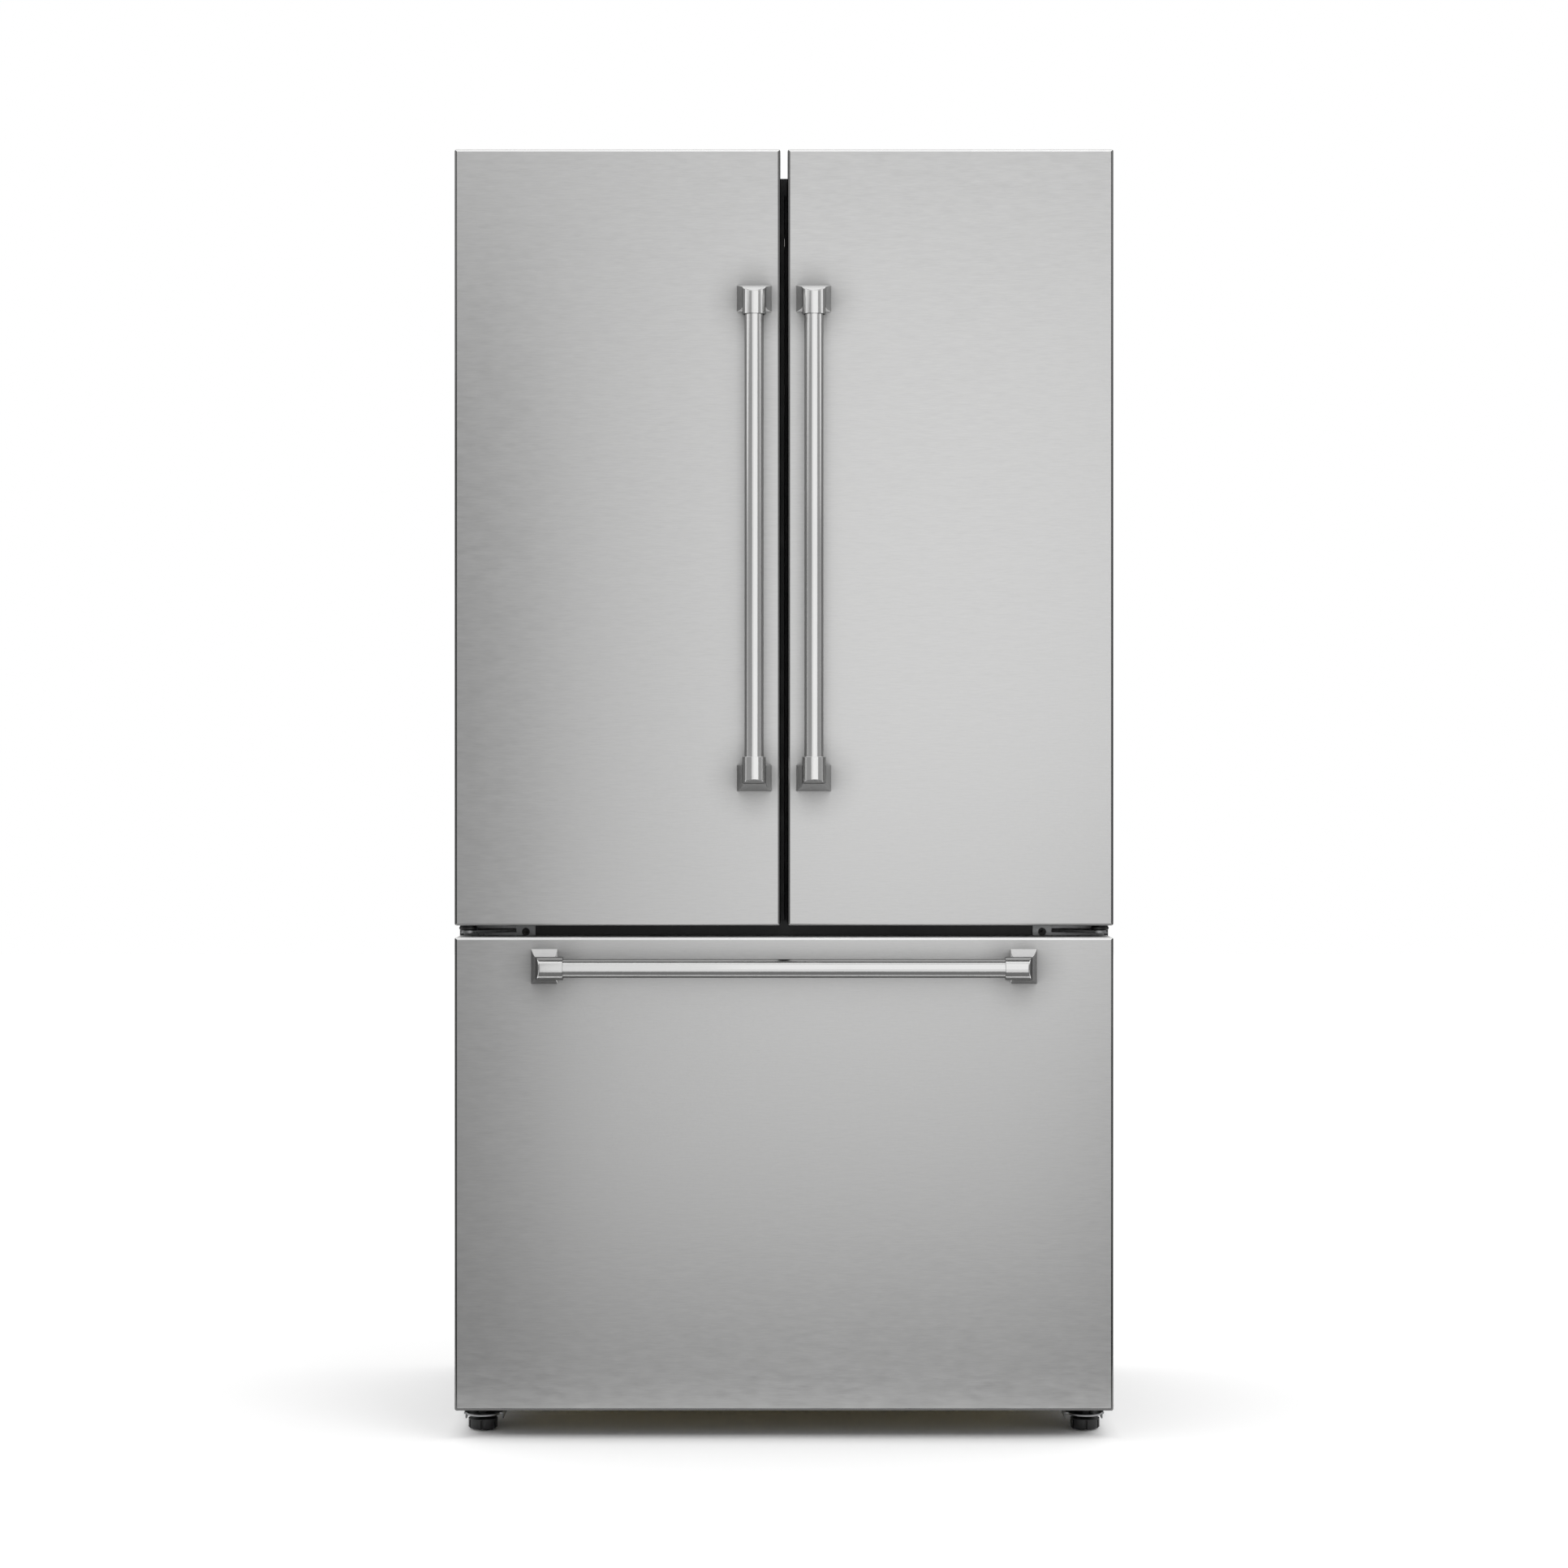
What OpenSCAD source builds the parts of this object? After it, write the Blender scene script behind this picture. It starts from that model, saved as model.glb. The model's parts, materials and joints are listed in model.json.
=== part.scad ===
// French door refrigerator: two doors over one freezer drawer.
// +Z up, front towards -Y, X across, origin on the floor under the middle of the whole object.

/* [Overall] */
// Width of the cabinet, and of the two doors with the gap between them
body_w = 905; // [850:1:960]
// Height of the door tops above the floor
body_h = 1777; // [1740:1:1820]
// Depth of the cabinet without its doors
case_d = 610; // [590:1:680]

/* [Doors] */
// Thickness of a door, from its steel face to its inner panel
door_t = 70; // [66:1:80]
// Gap between the two doors
door_gap = 10; // [8:0.5:12]
// Gap between the doors and the drawer below
drawer_gap = 16; // [14:0.5:20]
// Height of the drawer's top edge
drawer_top = 694.5; // [680:0.5:710]
// Height of the drawer's bottom edge
drawer_bottom = 44; // [40:1:50]
// Space between a door's inner panel and the cabinet, filled by the gasket
seal_gap = 13; // [12:0.5:16]
// Rounding of the steel edges
edge_r = 3.5; // [2.5:0.5:5]
// Thickness of the steel skins
skin_t = 1.2; // [1:0.1:1.5]
// How far a door opens, in degrees
door_swing = 120; // [90:5:120]

/* [Handles] */
// Diameter of a handle bar
bar_d = 25.4; // [22:0.2:28]
// Length of a handle over its two posts
handle_len = 694.5; // [600:0.5:720]
// Distance of the bar's axis from the door face
bar_out = 57.5; // [52:0.5:62]
// Distance of a door handle's axis from the middle of the refrigerator
bar_from_middle = 40.7; // [36:0.1:50]
// Height of the lower end of a door handle
handle_low = 895; // [860:1:930]
// Distance of the drawer handle's axis below the drawer's top edge
drawer_bar_drop = 40; // [34:1:60]

/* [Hinges] */
// Distance of a hinge pin from the door's outer side
pin_in = 16; // [15:0.5:18]
// Distance of a hinge pin behind the door's face
pin_back = 34.9; // [34:0.1:38]
// Radius of a hinge pin
pin_r = 5; // [4:0.5:6]
// Radial clearance of a pin in its bore
fit = 0.05; // [0.02:0.01:0.09]

/* [Cabinet] */
// Height of the cabinet's top
case_top = 1750; // [1740:1:1760]
// Thickness of the side walls, and width of the front flanges
wall = 40; // [40:1:44]
// Drawer travel
drawer_travel = 430; // [300:10:430]

/* [Hidden] */
$fn = 64;

half_w = body_w / 2;
ferrule_r = bar_d / 2 + 3;
// Depth of the whole object, which the origin halves
full_d = case_d + seal_gap + door_t + bar_out + ferrule_r;
y_rear = full_d / 2;
y_case = y_rear - case_d;
y_inner = y_case - seal_gap;
y_face = y_inner - door_t;
liner_t = 3;
y_skin = y_inner - liner_t;
door_bottom = drawer_top + drawer_gap;
side_z = 34;
sheet = 1.2;

// Openings in the cabinet's front
food_z0 = 752;
food_z1 = 1706;
ice_z0 = 100;
ice_z1 = 655;
mouth_x = half_w - wall;
food_x = mouth_x - 2.5;
ice_x = mouth_x - 7.5;
food_back = y_rear - 60;
ice_back = y_rear - 63;
// The machine compartment takes the lower rear corner behind the freezer
machine_y = y_rear - 243;
machine_z = 300;
machine_wall = 38;
floor_z = 46;

pin_x = half_w - pin_in;
pin_y = y_face + pin_back;
notch_front = 29.5;
notch_z = 1748;
block_x = 40;

// Door's inner ring of ribs and the gasket round it
rib_out = 60.5;
rib_mid = 62;
rib_w = 28;
rib_d = 50;
gasket_in = 18;
gasket_w = 18;
gasket_mid = 7;
gasket_bottom = 713;
gasket_top = 1743.5;
gasket_t = seal_gap - 0.5;
seal_cut = 0.2;

flap_z0 = 716;
flap_z1 = 1724.5;
flap_x0 = -36;
flap_x1 = 0.6;
flap_front = y_case - 4.5;
flap_body_z0 = 768;
flap_body_z1 = 1692;
flap_pin_x = -32;
flap_pin_y = y_case + 3;
flap_pin_r = 2.5;
lug_r = 4.8;

post_w = 48;
post_len = 36;
ferrule_over = 11;

rail_z0 = 348;
rail_h = 44;
rail_y0 = y_case + 11;
rail_len = 500;

foot_x = half_w - 29.5;
foot_y = y_face + 120;
roller_r = 19;
front_roller_y = foot_y + 58;
rear_roller_y = y_rear - 50;
axle_r = 3;
fan_x = -60;
fan_y = 262;
fan_z = 180;
ice_fan_z = 580;

steel_grey = "#b9b9b7";
dark_grey = "#3c3d3f";
liner_white = "#eceded";
black = "#1d1d1e";

// ---- shared shapes ----

// Box between two corners
module span(a, b) { translate(a) cube(b - a); }

// The same on both sides of the middle
module pair() {
    children();
    mirror([1, 0, 0]) children();
}

function arc(c, r, a, n = 6) = [for (i = [0:n]) c + r * [cos(a + i * 90 / n), sin(a + i * 90 / n)]];

// Rectangle with its four corners rounded, or only the two at the low end of its second axis
function round_rect(a, b, r) = concat(
    arc([a[0] + r, a[1] + r], r, 180), arc([b[0] - r, a[1] + r], r, 270),
    arc([b[0] - r, b[1] - r], r, 0), arc([a[0] + r, b[1] - r], r, 90));
function round_low(a, b, r) = concat(
    arc([a[0] + r, a[1] + r], r, 180), arc([b[0] - r, a[1] + r], r, 270), [b, [a[0], b[1]]]);

// Extrusions along Y and along X of an outline drawn as the front, or as (y, z)
module along_y(y0, y1) { translate([0, y1, 0]) rotate([90, 0, 0]) linear_extrude(y1 - y0) children(); }
module along_x(x0, x1) { translate([x0, 0, 0]) rotate([90, 0, 90]) linear_extrude(x1 - x0) children(); }

// Slab with its front edges and its four corners rounded
module slab(a, b, r) {
    intersection() {
        along_y(a[1], b[1]) polygon(round_rect([a[0], a[2]], [b[0], b[2]], r));
        translate([0, 0, a[2]]) linear_extrude(b[2] - a[2])
            polygon(round_low([a[0], a[1]], [b[0], b[1]], r));
        along_x(a[0], b[0]) polygon([for (p = round_low([a[2], a[1]], [b[2], b[1]], r)) [p[1], p[0]]]);
    }
}

// Open box with walls of thickness t, open at the top
module bin(a, b, t) {
    difference() {
        span(a, b);
        span(a + [t, t, t], b + [-t, -t, 1]);
    }
}

// ---- doors and drawer ----

// Steel pan with folded edges and a narrow return flange round its back
module pan(x0, x1, z0, z1) {
    t = skin_t;
    flange = 12;
    difference() {
        slab([x0, y_face, z0], [x1, y_skin, z1], edge_r);
        pan_inside(x0, x1, z0, z1);
        span([x0 + flange, y_skin - 2 * t, z0 + flange], [x1 - flange, y_skin + 1, z1 - flange]);
    }
}

// What such a pan holds
module pan_inside(x0, x1, z0, z1) {
    t = skin_t;
    slab([x0 + t, y_face + t, z0 + t], [x1 - t, y_skin - t, z1 - t], edge_r - t);
}

// The corner that the top hinge needs free, open to the top, the rear and the outer side
module hinge_notch() {
    span([-half_w - 1, pin_y - notch_front, notch_z], [-half_w + block_x, y_inner + 1, body_h + 1]);
}

module door_skin() {
    difference() {
        pan(-half_w, -door_gap / 2, door_bottom, body_h);
        hinge_notch();
        translate([-pin_x, pin_y, door_bottom - 1]) cylinder(r = 11.5, h = 4);
    }
}

module door_inside() { pan_inside(-half_w, -door_gap / 2, door_bottom, body_h); }

module hinge_block(z0, z1) {
    intersection() {
        door_inside();
        span([-half_w, y_face, z0], [-half_w + block_x + 4, y_inner, z1]);
    }
}

module hinge_blocks() {
    low_z = door_bottom + skin_t;
    difference() {
        union() {
            hinge_block(low_z, low_z + 34);
            translate([-pin_x, pin_y, door_bottom - 6.8]) cylinder(r = 11, h = 12);
        }
        translate([-pin_x, pin_y, door_bottom - 8]) cylinder(r = pin_r + fit, h = 36);
    }
    difference() {
        hinge_block(1712, body_h);
        hinge_notch();
        translate([-pin_x, pin_y, 1715]) cylinder(r = pin_r + fit, h = 40);
    }
}

module door_foam() {
    difference() {
        door_inside();
        span([-half_w, y_face, door_bottom], [-half_w + block_x + 4, y_inner, door_bottom + skin_t + 34]);
        span([-half_w, y_face, 1712], [-half_w + block_x + 4, y_inner, body_h]);
    }
}

// Inner panel with a raised ring of hollow ribs, which carries the bins
module inner_panel(x0, x1, z0, z1, rx0, rx1, rz0, rz1, deep) {
    t = 2.5;
    difference() {
        union() {
            span([x0, y_skin, z0], [x1, y_inner, z1]);
            span([rx0, y_skin, rz0], [rx1, y_inner + deep, rz1]);
        }
        span([rx0 + rib_w, y_inner - 0.5, rz0 + rib_w], [rx1 - rib_w, y_inner + deep + 1, rz1 - rib_w]);
        span([rx0 + t, y_skin - 1, rz0 + t], [rx0 + rib_w - t, y_inner + deep - t, rz1 - t]);
        span([rx1 - rib_w + t, y_skin - 1, rz0 + t], [rx1 - t, y_inner + deep - t, rz1 - t]);
    }
}

module door_liner() {
    difference() {
        inner_panel(-half_w + 5, -door_gap / 2 - 3, door_bottom + 4, body_h - 5,
            -half_w + rib_out, -rib_mid, 766, 1694, rib_d);
        hinge_notch();
        span([-half_w, y_skin - 1, 1711], [-half_w + block_x + 4, y_inner + 1, body_h]);
    }
}

// Soft frame in four strips, which meet at the corners with a hair's breadth between them
module seal_frame(x0, x1, z0, z1) {
    w = gasket_w;
    for (x = [x0, x1 - w]) span([x, y_inner, z0], [x + w, y_inner + gasket_t, z1]);
    for (z = [z0, z1 - w])
        span([x0 + w + seal_cut, y_inner, z], [x1 - w - seal_cut, y_inner + gasket_t, z + w]);
}

module door_gasket() { seal_frame(-half_w + gasket_in, -gasket_mid, gasket_bottom, gasket_top); }

module door_bins() {
    for (z = [[796, 118], [1100, 104], [1400, 96]])
        bin([-half_w + rib_out + rib_w, y_inner + 4, z[0]], [-rib_mid - rib_w, y_inner + 124, z[0] + z[1]], 3);
}

// ---- handles ----

function flare(n) = ferrule_r + (post_w / 2 - ferrule_r) * pow(1 - n / bar_out, 2);
function end_slope(n) = 0.11 * n + 0.0013 * n * n;

// A post stands at its outer end, z = 0, with the bar running to +Z; the door face is y = 0
module post() {
    tip = bar_out + ferrule_r;
    intersection() {
        linear_extrude(post_len)
            polygon([for (i = [-8:8]) [sign(i) * flare((8 - abs(i)) * bar_out / 8) * (i == 0 ? 0 : 1),
                -(8 - abs(i)) * bar_out / 8]]);
        along_x(-post_w, post_w)
            polygon(concat([for (i = [0:8]) [-i * bar_out / 8, end_slope(i * bar_out / 8)]],
                [[-bar_out, post_len], [0, post_len]]));
    }
    intersection() {
        translate([0, -bar_out, 0]) cylinder(r = ferrule_r, h = post_len + ferrule_over);
        along_x(-post_w, post_w)
            polygon(concat([for (i = [3:8]) [-i * tip / 8, end_slope(i * tip / 8)]],
                [[-tip - 1, end_slope(tip)], [-tip - 1, 100], [-3 * tip / 8, 100]]));
    }
}

module posts() {
    bore = bar_d / 2;
    difference() {
        union() {
            post();
            translate([0, 0, handle_len]) mirror([0, 0, 1]) post();
        }
        translate([0, -bar_out, post_len - 6]) cylinder(r = bore, h = handle_len - 2 * post_len + 12);
    }
}

module bar() {
    translate([0, -bar_out, post_len - 6]) difference() {
        cylinder(d = bar_d, h = handle_len - 2 * post_len + 12);
        translate([0, 0, -1]) cylinder(d = bar_d - 4, h = handle_len);
    }
}

module at_left_handle() { translate([-bar_from_middle, y_face, handle_low]) children(); }
module at_right_handle() { translate([bar_from_middle, y_face, handle_low]) children(); }
module at_drawer_handle() {
    translate([-handle_len / 2, y_face, drawer_top - drawer_bar_drop]) rotate([0, 90, 0]) children();
}

// ---- hinges ----

module top_hinge() {
    difference() {
        translate([0, 0, case_top]) linear_extrude(4) {
            translate([-pin_x, pin_y]) circle(r = 12);
            polygon([[-pin_x - 12, pin_y], [-pin_x + 12, pin_y], [-pin_x + 12, y_case],
                [-half_w + 48, y_case + 26], [-half_w + 48, y_case + 84], [-pin_x - 12, y_case + 84]]);
        }
        for (y = [34, 66]) translate([-half_w + 25, y_case + y, case_top - 1]) cylinder(r = 2.5, h = 9);
    }
    translate([-pin_x, pin_y, 1717]) cylinder(r = pin_r, h = case_top - 1717 + 1);
}

module hinge_cover() {
    module outline(inset) {
        translate([-pin_x, pin_y]) circle(r = 15 - inset);
        polygon([[-pin_x - 15 + inset, pin_y], [-pin_x + 15 - inset, pin_y],
            [-pin_x + 15 - inset, y_case - 2], [-half_w + 54 - inset, y_case + 22],
            [-half_w + 54 - inset, y_case + 94 - inset], [-pin_x - 15 + inset, y_case + 94 - inset]]);
    }
    difference() {
        translate([0, 0, case_top]) linear_extrude(24) outline(0);
        translate([0, 0, case_top - 1]) linear_extrude(23) outline(2);
    }
}

module middle_hinge() {
    z0 = 698.7;
    z1 = 703.2;
    difference() {
        union() {
            translate([0, 0, z0]) linear_extrude(z1 - z0) {
                translate([-pin_x, pin_y]) circle(r = 11);
                polygon([[-pin_x - 11, pin_y], [-pin_x + 7, pin_y - 8], [-half_w + 79, y_case - 4],
                    [-half_w + 79, y_case], [-pin_x - 11, y_case]]);
            }
            span([-half_w + 6, y_case - 3, 686], [-half_w + 106, y_case, 709]);
        }
        translate([-half_w + 92.5, y_case + 1, 699]) rotate([90, 0, 0]) cylinder(r = 2.5, h = 6);
    }
    translate([-pin_x, pin_y, z1 - 1]) cylinder(r = pin_r, h = 32);
}

// Cross-head screw, its head standing on z = 0
module screw() {
    difference() {
        union() {
            cylinder(r = 5.4, h = 3);
            translate([0, 0, -4.5]) cylinder(r = 2.5, h = 5);
        }
        for (a = [0, 90]) rotate(a) translate([-3, -0.6, 1.4]) cube([6, 1.2, 2]);
    }
}

module side_screws() {
    translate([-half_w + 92.5, y_case - 3, 699]) rotate([90, 0, 0]) screw();
    for (y = [34, 66]) translate([-half_w + 25, y_case + y, case_top + 4]) screw();
}

// ---- cabinet ----

module cabinet_shell() {
    color(dark_grey) difference() {
        span([-half_w, y_case, side_z], [half_w, y_rear - sheet, case_top]);
        span([-half_w + sheet, y_case + sheet, side_z - 1], [half_w - sheet, y_rear, case_top - sheet]);
        span([-mouth_x, y_case - 1, side_z - 1], [mouth_x, y_case + 2, food_z1]);
        pair() for (y = [34, 66])
            translate([-half_w + 25, y_case + y, case_top - 3]) cylinder(r = 2.5, h = 5);
    }
}

module back_panel() {
    color("#9a9c9e")
        span([-half_w, y_rear - sheet, machine_z], [half_w, y_rear, case_top]);
}

module freezer_outline(grow) {
    polygon([[y_case + sheet, ice_z0 - grow], [machine_y - machine_wall + grow, ice_z0 - grow],
        [machine_y - machine_wall + grow, machine_z + machine_wall - grow],
        [ice_back + grow, machine_z + machine_wall - grow],
        [ice_back + grow, ice_z1 + grow], [y_case + sheet, ice_z1 + grow]]);
}

module insulation() {
    color("#e8dcae") difference() {
        span([-half_w + sheet, y_case + sheet, floor_z + 14], [half_w - sheet, y_rear - sheet, case_top - sheet]);
        span([-food_x - 2, y_case, food_z0 - 2], [food_x + 2, food_back + 2, food_z1 + 2]);
        along_x(-ice_x - 2, ice_x + 2) freezer_outline(2);
        span([-ice_x - 2, y_case, ice_z0 - 2], [ice_x + 2, y_case + 4, ice_z1 + 2]);
        span([-half_w, machine_y, 0], [half_w, y_rear + 1, machine_z]);
        span([-mouth_x, y_case, ice_z1 + 2], [mouth_x, y_case + 30, food_z0 - 2]);
        span([-mouth_x, y_case, 0], [mouth_x, y_case + 30, ice_z0 - 2]);
    }
}

module fresh_food_liner() {
    color(liner_white) {
        difference() {
            span([-food_x - 2, y_case + sheet, food_z0 - 2], [food_x + 2, food_back + 2, food_z1 + 2]);
            span([-food_x, y_case, food_z0], [food_x, food_back, food_z1]);
        }
        // moulded air duct down the middle of the back wall
        difference() {
            span([-70, food_back - 22, 1030], [70, food_back, 1660]);
            for (z = [1100:60:1600]) span([-44, food_back - 24, z], [44, food_back - 14, z + 9]);
        }
        // moulded runners under the crispers
        for (x = [-food_x + 40, -60, 46, food_x - 54])
            span([x, shelf_front + 30, food_z0 - 1], [x + 14, shelf_end - 40, food_z0 + 6]);
    }
}

module freezer_liner() {
    color(liner_white) difference() {
        along_x(-ice_x - 2, ice_x + 2) freezer_outline(2);
        along_x(-ice_x, ice_x) freezer_outline(0);
        span([-ice_x, y_case, ice_z0], [ice_x, y_case + 5, ice_z1]);
    }
    // flange that covers the foam beside the mouth
    color(liner_white) pair() span([-mouth_x, y_case, ice_z0 - 2], [-ice_x, y_case + sheet, ice_z1 + 2]);
}

module mid_rail() {
    t = 1.5;
    z0 = ice_z1 + 2;
    z1 = food_z0 - 2;
    color(dark_grey) difference() {
        span([-mouth_x, y_case, z0], [mouth_x, y_case + 30, z1]);
        span([-mouth_x - 1, y_case + t, z0 + t], [mouth_x + 1, y_case + 31, z1 - t]);
        pair() translate([-half_w + 92.5, y_case + 3, 699]) rotate([90, 0, 0]) cylinder(r = 2.5, h = 6);
    }
}

module base_frame() {
    t = 2;
    color("#57595c") {
        // front member, which closes the cabinet below the freezer
        difference() {
            span([-mouth_x, y_case, side_z], [mouth_x, y_case + 30, ice_z0 - 2]);
            span([-mouth_x - 1, y_case + t, side_z + t], [mouth_x + 1, y_case + 31, ice_z0 - 2 - t]);
        }
        // side members and the floor of the machine compartment
        pair() difference() {
            span([-half_w + sheet, y_case + sheet, side_z], [-half_w + 62, y_rear - 2, floor_z + 14]);
            span([-half_w + sheet + t, y_case, side_z + t], [-half_w + 63, y_rear, floor_z + 14 - t]);
            span([-half_w + sheet + t, machine_y, side_z + t], [-half_w + 63, y_rear, floor_z + 15]);
            span([-mouth_x, y_case - 1, side_z - 1], [0, y_case + 32, ice_z0]);
            for (y = [front_roller_y, rear_roller_y])
                span([-foot_x - 17, y - roller_r - 3, side_z - 1], [-foot_x + 17, y + roller_r + 3, side_z + t + 1]);
        }
        span([-half_w + 62, machine_y, floor_z - t], [half_w - 62, y_rear - 2, floor_z]);
        pair() span([-half_w + 60, machine_y, side_z], [-half_w + 62, y_rear - 2, floor_z]);
    }
}

// Stamped bracket behind each front corner: a plate for the foot, and ears for a roller
module front_bracket() {
    side = 27;
    y1 = foot_y + 84;
    difference() {
        union() {
            translate([-foot_x, foot_y, 19]) cylinder(r = 23, h = 3);
            span([-foot_x - side, foot_y, 19], [-foot_x + side, y1, 22]);
            for (x = [-side, side - 2]) {
                span([-foot_x + x, foot_y + 22, 9], [-foot_x + x + 2, y1, 22]);
                span([-foot_x + x, foot_y + 10, 19], [-foot_x + x + 2, y1, side_z]);
            }
        }
        translate([-foot_x, foot_y, 10]) cylinder(r = 6 + fit, h = 20);
        span([-foot_x - 17, front_roller_y - roller_r - 3, 18], [-foot_x + 17, front_roller_y + roller_r + 3, 23]);
    }
    translate([-foot_x - side, front_roller_y, roller_r + 2]) rotate([0, 90, 0]) cylinder(r = axle_r, h = 2 * side);
}

module rear_bracket() {
    for (x = [-20, 18]) span([-foot_x + x, rear_roller_y - 32, 12], [-foot_x + x + 2, rear_roller_y + 28, side_z]);
    translate([-foot_x - 20, rear_roller_y, roller_r]) rotate([0, 90, 0]) cylinder(r = axle_r, h = 40);
}

module roller_brackets() {
    color("#8d8f92") pair() {
        front_bracket();
        rear_bracket();
    }
}

module roller(y, z) {
    translate([-foot_x - 14, y, z]) rotate([0, 90, 0]) difference() {
        union() {
            cylinder(r = roller_r, h = 28);
            translate([0, 0, -1]) cylinder(r = 8, h = 30);
        }
        translate([0, 0, -2]) cylinder(r = axle_r + fit, h = 32);
    }
}

module front_rollers() { color(black) pair() roller(front_roller_y, roller_r + 2); }
module rear_rollers() { color(black) pair() roller(rear_roller_y, roller_r); }

module foot() {
    knob_r = 20.5;
    knob_h = 15;
    bevel = 2.5;
    translate([-foot_x, foot_y, 0]) {
        difference() {
            union() {
                cylinder(r1 = knob_r - bevel, r2 = knob_r, h = bevel);
                translate([0, 0, bevel]) cylinder(r = knob_r, h = knob_h - bevel);
            }
            for (a = [30:60:330]) rotate(a) translate([knob_r - 3.5, -1.3, -1]) cube([5, 2.6, knob_h - 1]);
        }
        translate([0, 0, knob_h - 1]) cylinder(r = 6, h = 19);
    }
}

module left_foot() { color(black) foot(); }
module right_foot() { color(black) mirror([1, 0, 0]) foot(); }

// ---- machine compartment ----

module compressor() {
    color(black) translate([210, 262, 0]) {
        translate([0, 0, 64]) cylinder(r1 = 62, r2 = 78, h = 26);
        translate([0, 0, 90]) cylinder(r = 78, h = 96);
        translate([0, 0, 186]) cylinder(r1 = 78, r2 = 50, h = 26);
        span([-100, -58, 58], [100, 58, 64]);
        for (x = [-86, 86]) for (y = [-44, 44]) translate([x, y, floor_z]) cylinder(r = 11, h = 12);
    }
}

// Block of fins on straight tubes, along X
module finned_coil(a, b, fins, rows, cols) {
    pitch = (b[0] - a[0] - 30) / (fins - 1);
    for (i = [0:fins - 1])
        span([a[0] + 14 + i * pitch, a[1], a[2]], [a[0] + 15.2 + i * pitch, b[1], b[2]]);
    for (r = [0:rows - 1]) for (c = [0:cols - 1])
        translate([a[0], a[1] + (c + 0.5) * (b[1] - a[1]) / cols, a[2] + (r + 0.5) * (b[2] - a[2]) / rows])
            rotate([0, 90, 0]) cylinder(r = 3.6, h = b[0] - a[0]);
}

module condenser() {
    color("#3a3430") {
        finned_coil([-330, 176, 66], [-110, 346, 292], 10, 4, 3);
        for (x = [-316, -130]) span([x, 190, floor_z], [x + 2, 330, 68]);
    }
}

module evaporator() {
    color("#c9ccce") {
        finned_coil([-220, 284, 376], [220, ice_back - 4, 520], 12, 3, 1);
        for (x = [-206, 204]) span([x, ice_back - 6, 400], [x + 2, ice_back, 480]);
    }
}

module motor() {
    cylinder(r = 18, h = 26);
    translate([0, 0, 25]) cylinder(r = 2.5, h = 22);
}

module fan_motors() {
    color("#6f7276") {
        translate([fan_x + 44, fan_y, fan_z]) rotate([0, -90, 0]) motor();
        span([fan_x + 20, fan_y - 6, floor_z], [fan_x + 34, fan_y + 6, fan_z - 14]);
        translate([0, ice_back, ice_fan_z]) rotate([90, 0, 0]) motor();
    }
}

module fan(r, h) {
    difference() {
        union() {
            cylinder(r = 13, h = h);
            for (a = [0:72:288]) rotate(a) translate([0, 0, h / 2]) rotate([35, 0, 0])
                translate([8, -h * 0.6, -0.8]) cube([r - 8, h * 1.2, 1.6]);
        }
        translate([0, 0, -1]) cylinder(r = 2.5 + fit, h = h + 2);
    }
}

module condenser_fan() {
    color(black) translate([fan_x + 12, fan_y, fan_z]) rotate([0, -90, 0]) fan(78, 16);
}
module evaporator_fan() {
    color(black) translate([0, ice_back - 30, ice_fan_z]) rotate([90, 0, 0]) fan(42, 14);
}

module rear_cover() {
    inlet_x = -370;
    color("#8b8d8f") difference() {
        span([-half_w + sheet, y_rear - 2, floor_z + 2], [half_w - sheet, y_rear, machine_z]);
        for (x = [-300:50:250]) for (z = [90:22:266]) span([x, y_rear - 4, z], [x + 36, y_rear + 1, z + 8]);
        translate([inlet_x, y_rear + 1, 150]) rotate([90, 0, 0]) cylinder(r = 9, h = 6);
    }
}

// Strain relief that a supply cord comes out of
module power_inlet() {
    color(black) translate([-370, y_rear, 150]) rotate([90, 0, 0]) difference() {
        union() {
            cylinder(r = 9, h = 2);
            translate([0, 0, 2]) cylinder(r = 13, h = 14);
        }
        translate([0, 0, -1]) cylinder(r = 4.5, h = 18);
    }
}

// ---- inside the compartments ----

module evaporator_cover() {
    color(liner_white) difference() {
        span([-330, ice_back - 54, machine_z + machine_wall], [330, ice_back, ice_z1]);
        span([-327, ice_back - 51, machine_z], [327, ice_back + 1, ice_z1 - 3]);
        for (i = [-4:4]) span([-34, ice_back - 56, ice_fan_z + i * 9 - 2], [34, ice_back - 50, ice_fan_z + i * 9 + 2]);
    }
}

module control_panel() {
    color("#d7d9da") {
        span([-130, y_case + 50, food_z1 - 14], [130, y_case + 150, food_z1]);
    }
}

shelf_front = y_case + 132;
shelf_back = food_back - 6;
left_shelves = [1190, 1430];
right_shelves = [1130, 1370];
shelf_gap = 4;

module shelf_tracks() {
    color("#c9ccce") for (x = [-food_x + 16, -9, food_x - 34]) {
        y1 = x == -9 ? food_back - 22 : food_back;
        difference() {
            span([x, y1 - 6, 1060], [x + 18, y1, 1650]);
            for (z = [1080:40:1620]) span([x + 6, y1 - 8, z], [x + 12, y1 - 2, z + 22]);
        }
    }
}

module on_shelves() {
    for (z = left_shelves) translate([-food_x + shelf_gap, 0, z]) children();
    for (z = right_shelves) translate([shelf_gap, 0, z]) children();
}
shelf_w = food_x - 2 * shelf_gap;
shelf_end = food_back - 30;

module shelf_glass() {
    color("#cfe0df", 0.6) on_shelves() span([10, shelf_front + 10, 4], [shelf_w - 10, shelf_end - 10, 8]);
    color("#cfe0df", 0.6)
        span([-food_x + 18, shelf_front + 18, 1014], [food_x - 18, shelf_end - 16, 1018]);
}

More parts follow.
